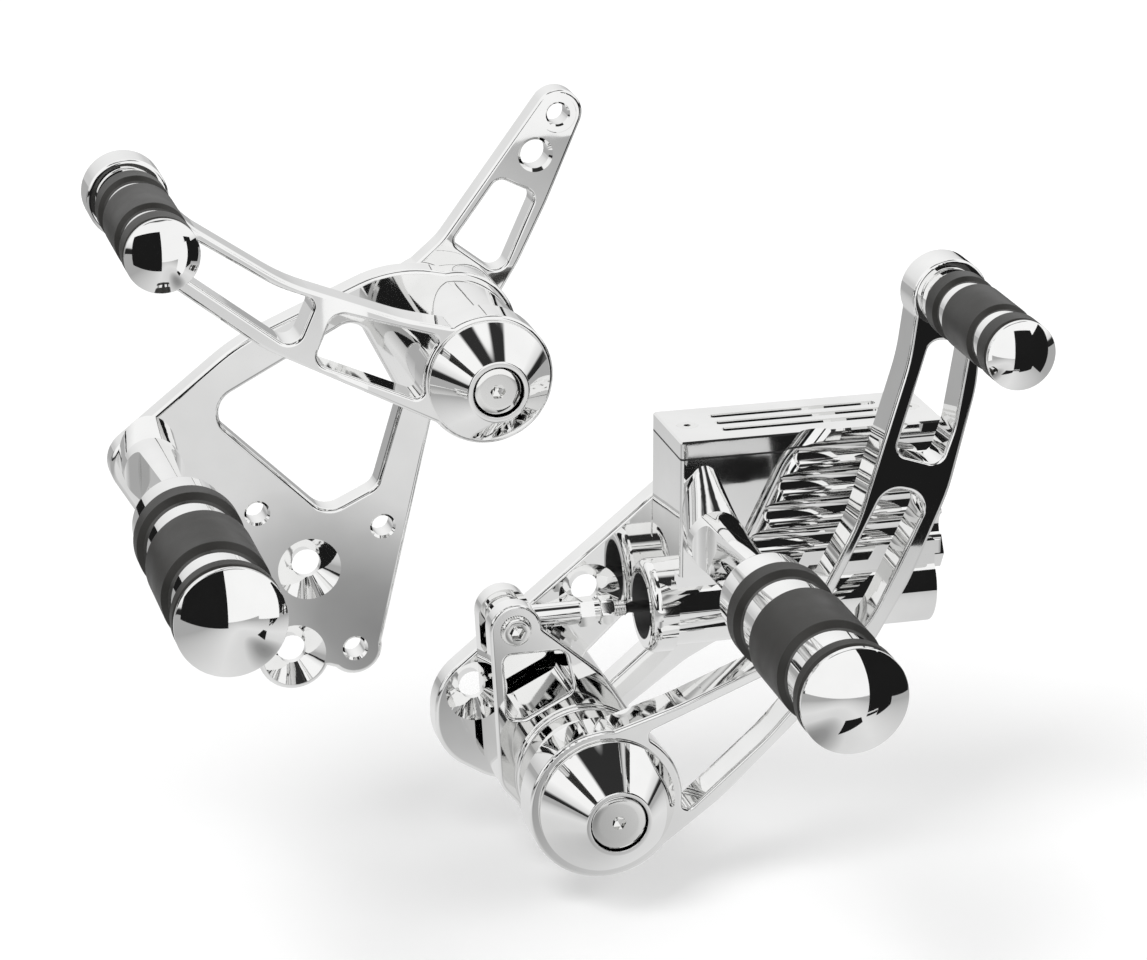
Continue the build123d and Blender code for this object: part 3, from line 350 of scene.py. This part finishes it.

# %% [markdown]
# In reflections the floor glows in grey tones with a painted shadow, darkest in front of the
# brackets, as the flat plates of the photograph show. Its tone comes from the distance to one
# spot there, stretched so that the painted shadow is long from front to back.

# %% Make the floor that mirrors see and lay it
mirrored_steps = (
    (0.0, 0.26), (0.05, 0.32), (0.1, 0.5), (0.15, 0.72), (0.3, 0.8), (0.5, 0.66), (0.9, 0.42),
)
# The centre of the painted shadow of the set-up, on the floor that mirrors see.
painted_shadow_spot = (0.012, -0.24, floor_level)
from_spot = distance_from(floor_tree, floor_place, painted_shadow_spot, (2.1, 0.75, 1))
mirrored_floor = glowing(
    floor_tree, sheet_light, toned(floor_tree, from_spot, mirrored_steps)
)
show(
    floor_tree,
    mixed_shaders(
        floor_tree, floor_ray.outputs["Is Glossy Ray"], seen_floor.outputs[0], mirrored_floor
    ),
)
floor_half = 2.6
floor = sheet(
    "floor",
    floor_cloth,
    [
        (-floor_half, -floor_half, floor_level),
        (floor_half, -floor_half, floor_level),
        (floor_half, floor_half, floor_level),
        (-floor_half, floor_half, floor_level),
    ],
)
print("floor is", 2 * floor_half, "m wide, with", len(mirrored_steps), "tones")

# %% [markdown]
# ## Cards
#
# A photographer who shoots chrome hangs white and black cards close to it. Their reflections
# draw the bright and dark fields that show the shape of a mirror. Large lamps could draw the
# bright fields, but only a card can draw a dark one. Each card here is a sheet that
# only reflections can see, so it throws no shadow and lights nothing that is dull.

# %% Helpers for the cards


def card_cloth(name, tone):
    """A plain tone that needs no light."""
    material, tree = new_material(name)
    show(tree, glowing(tree, sheet_light, grey(tone)))
    return material


def hang_card(name, cloth, corners):
    """A flat sheet between its corners, seen by mirrors only."""
    card = sheet(name, cloth, corners)
    card.visible_camera = False
    card.visible_diffuse = False
    card.visible_shadow = False
    card.visible_transmission = False
    return card


def standing(name, cloth, foot_a, foot_b, low, high):
    """A card that stands upright on a line between two points of the floor."""
    return hang_card(
        name, cloth, [(*foot_a, low), (*foot_b, low), (*foot_b, high), (*foot_a, high)]
    )


card_black = card_cloth("card_black", 0.012)
card_white = card_cloth("card_white", 1.0)
print("card cloths", card_black.name, card_white.name)

# %% [markdown]
# The photograph's domed peg caps work like little wide-angle mirrors and show where the cards
# hung: a tall white one in front, black ones on both sides of it, and a black strip on the
# table. The cards beside the brake unit share their edges, so those are named. Two black
# cards far behind give the backs of the units something to mirror.

# %% Hang the cards
inner_edge = 0.15
right_edge = 0.205
outer_edge = 0.34
right_line = -0.36
rule_line = right_line - 0.001
strip_corners = ((0.06, -0.3), (0.09, -0.325), (0.145, -0.37), (0.15, -0.42), (0.07, -0.4))
strip_level = floor_level + 0.002
cards = [
    standing("card_left", card_black, (-0.42, -0.34), (-0.124, -0.34), 0.06, 0.39),
    standing("card_front", card_white, (-0.75, -0.7), (0.5, -0.7), 0.02, 0.75),
    standing("card_between", card_white, (-0.02, -0.3), (-0.02, -0.215), 0.08, 0.25),
    standing(
        "card_right", card_black, (right_edge, right_line), (outer_edge, right_line), -0.045, 0.36
    ),
    standing(
        "card_inner", card_black, (inner_edge, right_line), (right_edge, right_line), -0.006, 0.36
    ),
    standing(
        "card_rule", card_black, (inner_edge, rule_line), (right_edge, rule_line), -0.027, -0.014
    ),
    standing("card_side", card_black, (outer_edge, right_line), (outer_edge, -0.2), 0.0, 0.3),
    hang_card("card_strip", card_black, [(*corner, strip_level) for corner in strip_corners]),
    standing("card_back_left", card_black, (-0.9, 0.6), (-0.45, 0.75), -0.03, 0.16),
    standing("card_back_right", card_black, (0.45, 0.7), (0.75, 0.5), -0.03, 0.16),
]
print("cards", len(cards))

# %% [markdown]
# ## Lamps
#
# The rubber and the floor need light that comes from somewhere, or they look flat. The sky
# alone would light them evenly from all sides. Two large soft lamps give them a bright and a
# dark side: one above and to the left, and a weaker one from the right. The chrome doesn't
# mirror them, because the tent and the cards already draw its bright fields.

# %% Set the lamps


def hang_lamp(name, place, watts, size):
    """A square soft lamp aimed at the middle of the object."""
    data = bpy.data.lights.new(name, "AREA")
    data.energy = watts
    data.size = size
    lamp = bpy.data.objects.new(name, data)
    bpy.context.scene.collection.objects.link(lamp)
    facing = Vector(place) - middle
    lamp.matrix_world = (
        Matrix.Translation(Vector(place)) @ facing.to_track_quat("Z", "Y").to_matrix().to_4x4()
    )
    lamp.visible_glossy = False
    return lamp


key_lamp = hang_lamp("key_lamp", (-0.9, -0.7, 1.5), watts=18, size=0.9)
fill_lamp = hang_lamp("fill_lamp", (1.3, -0.9, 0.9), watts=8, size=0.9)
print("lamps", key_lamp.name, fill_lamp.name)

# %% [markdown]
# ## Finishes
#
# A finish has to look right from any side and on any piece, so it isn't painted on. Noise that
# is fixed to the piece makes its shade and its polish drift a little, and a finer noise raises
# the surface. These helpers are shared by the metals and the rubbers.

# %% Helpers for the finishes


def object_noise(tree, scale, detail):
    """Noise that is fixed to the piece, with its scale in cells per metre."""
    place = tree.nodes.new("ShaderNodeTexCoord")
    noise = tree.nodes.new("ShaderNodeTexNoise")
    noise.inputs["Scale"].default_value = scale
    noise.inputs["Detail"].default_value = detail
    tree.links.new(place.outputs["Object"], noise.inputs["Vector"])
    return noise.outputs["Fac"]


def drifting(name, noise_scale, noise_detail, dark, light, rough):
    """A material whose shade and roughness drift between two ends with one noise."""
    material, tree = new_material(name)
    shader = tree.nodes.new("ShaderNodeBsdfPrincipled")
    show(tree, shader.outputs[0])
    noise = object_noise(tree, noise_scale, noise_detail)
    shade = mixed_colours(tree, ranged(tree, noise, 0.3, 0.7, 0, 1), (*dark, 1), (*light, 1))
    tree.links.new(shade, shader.inputs["Base Color"])
    tree.links.new(ranged(tree, noise, 0.3, 0.7, *rough), shader.inputs["Roughness"])
    return material, tree, shader


def bumped(tree, shader, noise, depth, strength):
    """Raise the surface by a noise, with the depth in metres."""
    bump = tree.nodes.new("ShaderNodeBump")
    bump.inputs["Distance"].default_value = depth
    bump.inputs["Strength"].default_value = strength
    tree.links.new(noise, bump.inputs["Height"])
    tree.links.new(bump.outputs["Normal"], shader.inputs["Normal"])


mm = 0.001
print("depths are in units of", mm, "m")

# %% [markdown]
# ## Metals
#
# Chrome is a metal with almost no roughness. What keeps it from looking like a computer's
# perfect mirror is how it was polished by hand before plating: the surface waves by a few
# hundredths of a millimetre, and the shine is a little duller in patches. A picture of
# scratches could do it, but this file holds none, and noise has no seams. The fasteners are
# plated over a less even surface. Steel, bronze and the piston's light alloy are for working
# parts inside the units, with a ground or turned surface.

# %% Make the metals


def metal(name, dark, light, rough, waves, depth):
    """A bare or plated metal with fine waves, given in waves per metre."""
    material, tree, shader = drifting(name, 45, 3, dark, light, rough)
    shader.inputs["Metallic"].default_value = 1.0
    bumped(tree, shader, object_noise(tree, waves, 1), depth, 1.0)
    return material


polished_chrome = metal(
    "polished_chrome", (0.87, 0.87, 0.865), (0.93, 0.93, 0.925), rough=(0.015, 0.05),
    waves=55, depth=0.04 * mm,
)
plated_fasteners = metal(
    "plated_fasteners", (0.82, 0.82, 0.81), (0.9, 0.9, 0.89), rough=(0.04, 0.09),
    waves=200, depth=0.01 * mm,
)
ground_steel = metal(
    "ground_steel", (0.5, 0.5, 0.5), (0.62, 0.61, 0.6), rough=(0.2, 0.32),
    waves=900, depth=0.02 * mm,
)
bronze = metal(
    "bronze", (0.48, 0.3, 0.12), (0.62, 0.42, 0.19), rough=(0.25, 0.4),
    waves=500, depth=0.02 * mm,
)
anodised_piston = metal(
    "anodised_piston", (0.6, 0.61, 0.63), (0.7, 0.71, 0.73), rough=(0.3, 0.4),
    waves=800, depth=0.02 * mm,
)
print("metals", polished_chrome.name, plated_fasteners.name, ground_steel.name)
print("softer metals", bronze.name, anodised_piston.name)

# %% [markdown]
# ## Rubbers
#
# The bands on the pegs are moulded rubber: nearly black, with a fine grain from the mould and
# a light bloom in patches. A flat black would hide their shape, so they keep a soft shine.
# The seals inside the cylinder are a finer rubber.

# %% Make the rubbers


def rubber(name, dark, light, rough, grains, depth):
    """A moulded rubber with a fine grain, given in grains per metre."""
    material, tree, shader = drifting(name, 70, 5, dark, light, rough)
    bumped(tree, shader, object_noise(tree, grains, 4), depth, 0.7)
    return material


grip_rubber = rubber(
    "grip_rubber", (0.011, 0.0105, 0.009), (0.018, 0.017, 0.015), rough=(0.36, 0.5),
    grains=2600, depth=0.06 * mm,
)
seal_rubber = rubber(
    "seal_rubber", (0.012, 0.012, 0.012), (0.02, 0.02, 0.02), rough=(0.4, 0.55),
    grains=1800, depth=0.05 * mm,
)
print("rubbers", grip_rubber.name, seal_rubber.name)

# %% [markdown]
# ## Give each piece its finish
#
# A list of pieces could be written here for each finish, but it would go wrong when a piece is
# added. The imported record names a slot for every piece, so each finish is looked up there.

# %% Assign the finishes


def dress(node, material):
    """Give one piece of the model its finish."""
    nodes[node].data.materials.clear()
    nodes[node].data.materials.append(material)


finishes = {
    "polished_chrome": polished_chrome,
    "plated_fasteners": plated_fasteners,
    "ground_steel": ground_steel,
    "bronze": bronze,
    "anodised_piston": anodised_piston,
    "grip_rubber": grip_rubber,
    "seal_rubber": seal_rubber,
}
slots = {sub["node"]: sub["material_slot"] for sub in frame["record"]["subparts"]}
for node, slot_name in slots.items():
    dress(node, finishes[slot_name])
print("dressed", len(slots), "pieces in", len(finishes), "finishes")

# %% [markdown]
# ## The honed bore and its painted shade
#
# The cylinder is chromed outside, but its bore is honed: a dull grey where the piston's seals
# slide. As a mirror it would show as a black hole. The body is one solid, so the bore can't
# have a material of its own. Its finish is the same chrome, and the distance from the bore's
# line turns it dull inside the bore's radius, up to the bore's end. The dark grey there is
# partly the dull honed finish and partly painted shade of the deep bore.

# %% Make the bore dull and paint its shade


def honed_and_shaded_inside(name, centre, radius, end):
    """The chrome, but dark grey inside a bore along X up to its end: dull honed metal and painted shade."""
    material = polished_chrome.copy()
    material.name = name
    tree = material.node_tree
    shader = next(node for node in tree.nodes if node.type == "BSDF_PRINCIPLED")
    chrome = shader.inputs["Base Color"].links[0].from_socket
    place = tree.nodes.new("ShaderNodeTexCoord").outputs["Object"]
    along = tree.nodes.new("ShaderNodeSeparateXYZ")
    tree.links.new(place, along.inputs[0])
    outside = number_sum(
        tree,
        "MAXIMUM",
        number_sum(tree, "GREATER_THAN", distance_from(tree, place, centre, (0, 1, 1)), radius),
        number_sum(tree, "GREATER_THAN", along.outputs["X"], end),
    )
    tree.links.new(outside, shader.inputs["Metallic"])
    # The dark grey 0.11 is painted shade of the deep bore, on top of its dull honed finish.
    shade = mixed_colours(tree, outside, grey(0.11), chrome)
    tree.links.new(shade, shader.inputs["Base Color"])
    return material


rod_line = Vector((0, *joint_at["push_rod_pin"].yz))
bore_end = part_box("master_cylinder_body")[1].x - 0.009
honed_and_shaded_chrome = honed_and_shaded_inside("honed_and_shaded_chrome", rod_line, 12.7 * mm, bore_end)
dress("master_cylinder_body", honed_and_shaded_chrome)
print("bore ends at", round(bore_end / mm, 1), "mm")

# %% [markdown]
# ## Turned pieces
#
# Some small pieces carry more than the solids show: the hub caps flow from cone to rim
# without a hard edge, their screws are a little domed, and the push rod is threaded. All of
# them were made on a lathe. Blender's screw modifier can spin an outline round a line, but a
# key socket and a knurl aren't round. So these are built the way a lathe works: a list of
# rings along a line, each with its radius and its reach in millimetres. A radius may also
# change round the ring, which gives a key socket its six sides and a thread its slope.

# %% Helpers for the rings
from math import acos, asin, cos, pi, sin, tan

import bmesh

out = Vector((0, -1, 0))
along_rod = Vector((1, 0, 0))


def six_sided(flats):
    """Radius of a hexagon of that width across its flats, at each angle."""
    return lambda angle: flats / 2 / cos((angle + pi / 6) % (pi / 3) - pi / 6)


def rounded_rings(corners, steps=7):
    """Rings from corners (radius, reach, round), with an arc at each rounded corner."""
    rings = []
    count = len(corners)
    for i, (radius, reach, bend) in enumerate(corners):
        corner = Vector((radius, reach))
        if bend == 0:
            rings.append((radius, reach))
            continue
        before = (Vector(corners[i - 1][:2]) - corner).normalized()
        after = (Vector(corners[(i + 1) % count][:2]) - corner).normalized()
        half = acos(max(-1, min(1, before.dot(after)))) / 2
        centre = corner + (before + after).normalized() * (bend / sin(half))
        start = corner + before * (bend / tan(half)) - centre
        end = corner + after * (bend / tan(half)) - centre
        sweep = pi - 2 * half
        for k in range(steps + 1):
            share = k / steps
            point = (
                centre
                + (start * sin((1 - share) * sweep) + end * sin(share * sweep)) / sin(sweep)
            )
            rings.append((point.x, point.y))
    return rings


print("a 5 mm key is", round(six_sided(5)(pi / 6), 2), "mm to its corners")

# %% [markdown]
# A mesh is made of loops of points with bands of faces between them. At a tip the loop is a
# single point. Smooth shading hides the facets, and edges steeper than an angle stay crisp,
# as they are on a turned piece.

# %% Helpers for turned pieces


def bridge(made, near, far):
    """Close the band between two loops, or between a loop and a tip."""
    steps = max(len(near), len(far))
    for k in range(steps):
        after = (k + 1) % steps
        if len(near) == 1:
            made.faces.new((near[0], far[k], far[after]))
        elif len(far) == 1:
            made.faces.new((near[k], far[0], near[after]))
        else:
            made.faces.new((near[k], far[k], far[after], near[after]))


def smooth_piece(name, made, sharp):
    """An object with smooth faces, and crisp edges past an angle in degrees."""
    bmesh.ops.recalc_face_normals(made, faces=made.faces)
    mesh = bpy.data.meshes.new(name)
    made.to_mesh(mesh)
    made.free()
    mesh.polygons.foreach_set("use_smooth", [True] * len(mesh.polygons))
    mesh.set_sharp_from_angle(angle=radians(sharp))
    piece = bpy.data.objects.new(name, mesh)
    bpy.context.scene.collection.objects.link(piece)
    return piece


def turned_piece(name, origin, axis, rings, steps, sharp, closed=False):
    """A mesh of rings (radius, reach) in millimetres about a line from a point in metres."""
    across = Vector((0, 0, 1))
    other = axis.cross(across)
    made = bmesh.new()
    loops = []
    for radius, reach in rings:
        centre = origin + axis * reach * mm
        if radius == 0:
            loops.append([made.verts.new(centre)])
            continue
        loop = []
        for k in range(steps):
            angle = 2 * pi * k / steps
            spoke = across * cos(angle) + other * sin(angle)
            width = radius(angle) if callable(radius) else radius
            loop.append(made.verts.new(centre + spoke * width * mm))
        loops.append(loop)
    if closed:
        loops.append(loops[0])
    for near, far in zip(loops, loops[1:]):
        bridge(made, near, far)
    return smooth_piece(name, made, sharp)


def stand_in(piece, node, body):
    """Put a new piece in a node's place, with that node's finish."""
    slot = slots[node]
    piece.data.materials.append(finishes[slot])
    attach(piece, body)
    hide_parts(node)
    return piece


print("lathe lines run along", tuple(out), "and", tuple(along_rod))

# %% [markdown]
# ## Hub caps
#
# Each pivot ends in a cone. A cone from Blender's menu has a hard edge and no recess, so the
# caps are turned: a short rim, the cone, and a recess for the screw's head, with soft rims
# between them. The cone is closed behind by its own back face, so its rings form a loop.

# %% Shape the hub caps
screw_bore = 4.1
cap_rim = 1.6
recess_wall = 3.2


def hub_cap(name, axis_at, face, half, top, recess, height):
    """A cone with soft rims and a countersunk recess."""
    recess_floor = face + height - recess_wall
    corners = [
        (screw_bore, face, 0),
        (half, face, 0.5),
        (half, face + cap_rim, 1.1),
        (top, face + height, 0.9),
        (recess, face + height, 0.25),
        (recess, recess_floor, 0),
        (screw_bore, recess_floor - (recess - screw_bore), 0),
    ]
    return turned_piece(name, axis_at, out, rounded_rings(corners), 256, 25, closed=True)


print("recess wall", recess_wall, "mm")

# %% [markdown]
# ## Screws of the hub caps
#
# A flat head screw sits in the middle of each cap. A dark gap runs round it, because the
# recess is a little wider than the head. The head could be a plain disc, but the photograph's
# heads catch the light like a shallow dome, so the rings rise slightly towards the socket.

# %% Shape the hub caps' screws
shank = 3.98
key_width = 5.0


def hub_screw(name, axis_at, face, half, length):
    """A flat head screw, slightly domed, with a six sided socket."""
    socket = six_sided(key_width)
    shank_rings = [
        (0, face - length),
        (shank - 0.6, face - length),
        (shank, face - length + 0.6),
        (shank, face - half + shank),
    ]
    head_rings = [
        (half - 0.25, face - 0.6),
        (half, face - 0.4),
        (half - 0.1, face - 0.14),
        (half - 0.4, face),
        (half * 0.7, face + 0.04),
        (key_width * 0.66, face + 0.06),
    ]
    socket_rings = [
        (socket, face + 0.06),
        (socket, face - 2.6),
        (lambda angle: socket(angle) * 0.4, face - 3.2),
        (0, face - 3.6),
    ]
    rings = shank_rings + head_rings + socket_rings
    return turned_piece(name, axis_at, out, rings, 192, 30)


print("socket", key_width, "mm across its flats")

# %% [markdown]
# The shift unit's cap is screwed to the shaft that turns with its lever, so the cap and its
# screw ride on the lever. The brake unit's pedal turns on a fixed stud, and its cap stays with
# the bracket. Each line through a pivot comes from the model's joint.

# %% Make the caps and their screws
shift_axis = joint_at["shift_pivot"]
shift_face = 64.4
shift_head = shift_face + 13.8
soft_shift_cap = hub_cap(
    "soft_shift_cap", shift_axis, shift_face, half=22.25, top=11.2, recess=9.3, height=15.0
)
stand_in(soft_shift_cap, "shift_cap", "shift_lever")
domed_shift_screw = hub_screw(
    "domed_shift_screw", shift_axis, shift_head, half=8.5, length=33.0
)
stand_in(domed_shift_screw, "shift_cap_screw", "shift_lever")

brake_axis = joint_at["brake_pivot"]
brake_face = 74.35
brake_head = brake_face + 16.8
soft_brake_cap = hub_cap(
    "soft_brake_cap", brake_axis, brake_face, half=26.0, top=12.5, recess=11.0, height=18.0
)
stand_in(soft_brake_cap, "brake_cap", "root")
domed_brake_screw = hub_screw(
    "domed_brake_screw", brake_axis, brake_head, half=10.35, length=36.0
)
stand_in(domed_brake_screw, "brake_cap_screw", "root")
print("caps", soft_shift_cap.name, soft_brake_cap.name)
print("screws", domed_shift_screw.name, domed_brake_screw.name)

# %% [markdown]
# ## Domed end caps of the pegs
#
# The four end caps are polished domes, and a dome shows the whole room at once. The packed
# domes are good solids, but in a mirror even small facets break the room's picture. Each one
# is turned again with many fine rings, and a soft edge where the dome meets the rim. Their
# places come from the boxes of the pieces they stand in for.

# %% Make the end caps
dome_steps = 27


def end_cap(name, node, rim, dome, stud):
    """A dome on a short rim with a stud behind, where the node's box is."""
    low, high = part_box(node)
    axis_at = Vector(((low.x + high.x) / 2, 0, (low.z + high.z) / 2))
    half = (high.x - low.x) / 2 / mm
    face = -low.y / mm - rim - dome
    ball = (half**2 + dome**2) / (2 * dome)
    ball_at = face + rim + dome - ball
    widest = asin(half / ball)
    corners = [
        (0, face - stud * 1.3, 0),
        (stud / 2 - 0.5, face - stud * 1.3, 0),
        (stud / 2, face - stud * 1.3 + 0.5, 0),
        (stud / 2, face, 0),
        (half, face, 0.35),
        (half, face + rim, 0.8),
    ]
    for step in range(dome_steps, -1, -1):
        angle = widest * 0.92 * step / dome_steps
        corners.append((ball * sin(angle), ball_at + ball * cos(angle), 0))
    return turned_piece(name, axis_at, out, rounded_rings(corners), 256, 30)


foot_cap = {"rim": 2.0, "dome": 7.0, "stud": 12.0}
toe_cap = {"rim": 1.6, "dome": 4.6, "stud": 9.0}
for name, node, sizes, body in (
    ("shift_peg_dome", "shift_peg_end_cap", foot_cap, "root"),
    ("brake_peg_dome", "brake_peg_end_cap", foot_cap, "root"),
    ("shift_toe_dome", "shift_toe_peg_end_cap", toe_cap, "shift_lever"),
    ("brake_toe_dome", "brake_toe_peg_end_cap", toe_cap, "brake_pedal"),
):
    stand_in(end_cap(name, node, **sizes), node, body)
    print("dome", name, "on", body)

# %% [markdown]
# ## Threaded push rod
#
# The rod is cut with a thread where the nut locks it, and is thinner beyond. A thread could be
# a spiral added with the screw modifier, but that leaves two meshes that cut each other. A
# thread is one slope wound round the rod, so here the radius depends on the sum of how far
# round and how far along a point is. The rings are an eighth of a pitch apart, which keeps the
# crests crisp. The rod ends in a ball that turns in the piston's socket.

# %% Make the push rod
pitch = 1.0
crest = 3.0
valley = 2.42
rings_in_pitch = 8
thread_from = 36.0
thread_to = 53.0


def threaded(reach):
    """Radius of the thread at one place along the rod."""

    def at_angle(angle):
        turn = (reach / pitch + angle / (2 * pi)) % 1
        return valley + (crest - valley) * min(1, 2.4 * min(turn, 1 - turn))

    return at_angle


rod_rings = [(0, 22.0), (2.4, 22.0), (2.4, thread_from)]
for k in range(int((thread_to - thread_from) / pitch * rings_in_pitch) + 1):
    reach = thread_from + k * pitch / rings_in_pitch
    rod_rings.append((threaded(reach), reach))
rod_rings += [(2.4, 53.6), (2.2, 54.2), (2.2, 88.5), (2.3, 89.4)]
ball = 4.0
ball_at = 92.7
for k in range(3, 13):
    angle = pi * k / 13
    rod_rings.append((ball * sin(angle), ball_at - ball * cos(angle)))
rod_rings.append((0, ball_at + ball))
threaded_push_rod = turned_piece("threaded_push_rod", rod_line, along_rod, rod_rings, 64, 40)
stand_in(threaded_push_rod, "push_rod", "push_rod")
print("thread turns", round((thread_to - thread_from) / pitch))

# %% [markdown]
# ## Jam nut
#
# The nut that locks the rod has a round collar on one side, and its corners are turned down at
# both ends. A six sided prism could have its corners cut off by a cone. With rings it is
# simpler: each radius is the smaller one of the hexagon's and of a limit that grows by steps.

# %% Make the jam nut


def hex_nut(name, start, collar, end, flats, half_bore):
    """A jam nut with a round collar and turned-down corners."""
    sides = six_sided(flats)

    def cut(step):
        limit = flats * 0.48 + 0.19 * step
        return lambda angle: min(sides(angle), limit)

    rings = [(half_bore, start), (flats * 0.43, start), (flats * 0.43, collar)]
    rings += [(cut(step), collar + 0.1 * step) for step in range(6)]
    rings += [(cut(step), end - 0.1 * step) for step in reversed(range(6))]
    rings.append((half_bore, end))
    return turned_piece(name, rod_line, along_rod, rings, 120, 30, closed=True)


chamfered_jam_nut = hex_nut(
    "chamfered_jam_nut", start=40.32, collar=42.72, end=48.22, flats=10.0, half_bore=3.02
)
stand_in(chamfered_jam_nut, "push_rod_jam_nut", "push_rod")
print("nut points", len(chamfered_jam_nut.data.vertices))

# %% [markdown]
# ## Knurled screw in the fork
#
# The push rod's end turns on a socket head screw. Its head is knurled for the fingers, and the
# socket is deep. Knurling could be a bump in the material, but the head's outline shows
# against the lever behind it. So the knurl is a small wave of the radius round the head.

# %% Make the fork's screw
pin_axis = Vector((joint_at["push_rod_pin"].x, 0, joint_at["push_rod_pin"].z))
knurls = 36


def knurled(angle):
    """Radius of the head between and on its ridges."""
    return 5.78 + 0.2 * abs(sin(angle * knurls / 2))


pin_key = six_sided(key_width)
pin_shank = [(0, 16.0), (2.5, 16.0), (3.0, 16.5), (3.0, 37.0), (5.6, 37.0)]
pin_head = [
    (knurled, 37.3), (knurled, 41.6), (5.75, 41.9), (5.5, 42.5), (5.1, 42.85), (4.6, 43.0),
]
pin_socket = [
    (3.3, 43.0), (lambda angle: pin_key(angle) + 0.15, 42.95), (pin_key, 42.75),
    (pin_key, 39.6), (lambda angle: pin_key(angle) * 0.4, 39.0), (0, 38.6),
]
knurled_fork_screw = turned_piece(
    "knurled_fork_screw", pin_axis, out, pin_shank + pin_head + pin_socket, 216, 30
)
stand_in(knurled_fork_screw, "rod_end_screw", "brake_pedal")
print("knurls", knurls)

# %% [markdown]
# ## Return spring
#
# Inside the cylinder a coil spring pushes the piston back. One of its ends follows the piston
# and the other stays on the cylinder, so a piece that rides on one body would cut through the
# other.

# %% Wind the spring
spring_low, spring_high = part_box("return_spring")
spring_middle = (spring_low + spring_high) / 2
wire = 0.8 * mm
coil = (spring_high.z - spring_low.z) / 2 - wire
turns = 6
coil_steps = turns * 40
wire_steps = 12
spring_from = spring_low.x + wire
spring_to = spring_high.x - wire
spring_mesh = bmesh.new()


def wire_ring(share):
    """A ring of points round the wire, at a share of the way along the coil."""
    angle = 2 * pi * turns * share
    outward = Vector((0, cos(angle), sin(angle)))
    centre = outward * coil + Vector(
        (spring_from + (spring_to - spring_from) * share, spring_middle.y, spring_middle.z)
    )
    points = []
    for k in range(wire_steps):
        around = 2 * pi * k / wire_steps
        spoke = outward * wire * cos(around) + along_rod * wire * sin(around)
        points.append(spring_mesh.verts.new(centre + spoke))
    return points


wire_rings = [wire_ring(step / coil_steps) for step in range(coil_steps + 1)]
for near, far in zip(wire_rings, wire_rings[1:]):
    bridge(spring_mesh, near, far)
spring_mesh.faces.new(wire_rings[0])
spring_mesh.faces.new(wire_rings[-1][::-1])
wound_spring = smooth_piece("wound_spring", spring_mesh, 40)
print("spring turns", turns, "rings", len(wire_rings))

# %% [markdown]
# The spring takes the ground steel's finish and stands in for the packed one.

# %% Finish the spring
wound_spring.data.materials.append(finishes["ground_steel"])
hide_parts("return_spring")
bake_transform(wound_spring)
print("spring length", round((spring_to - spring_from) / mm, 1), "mm")
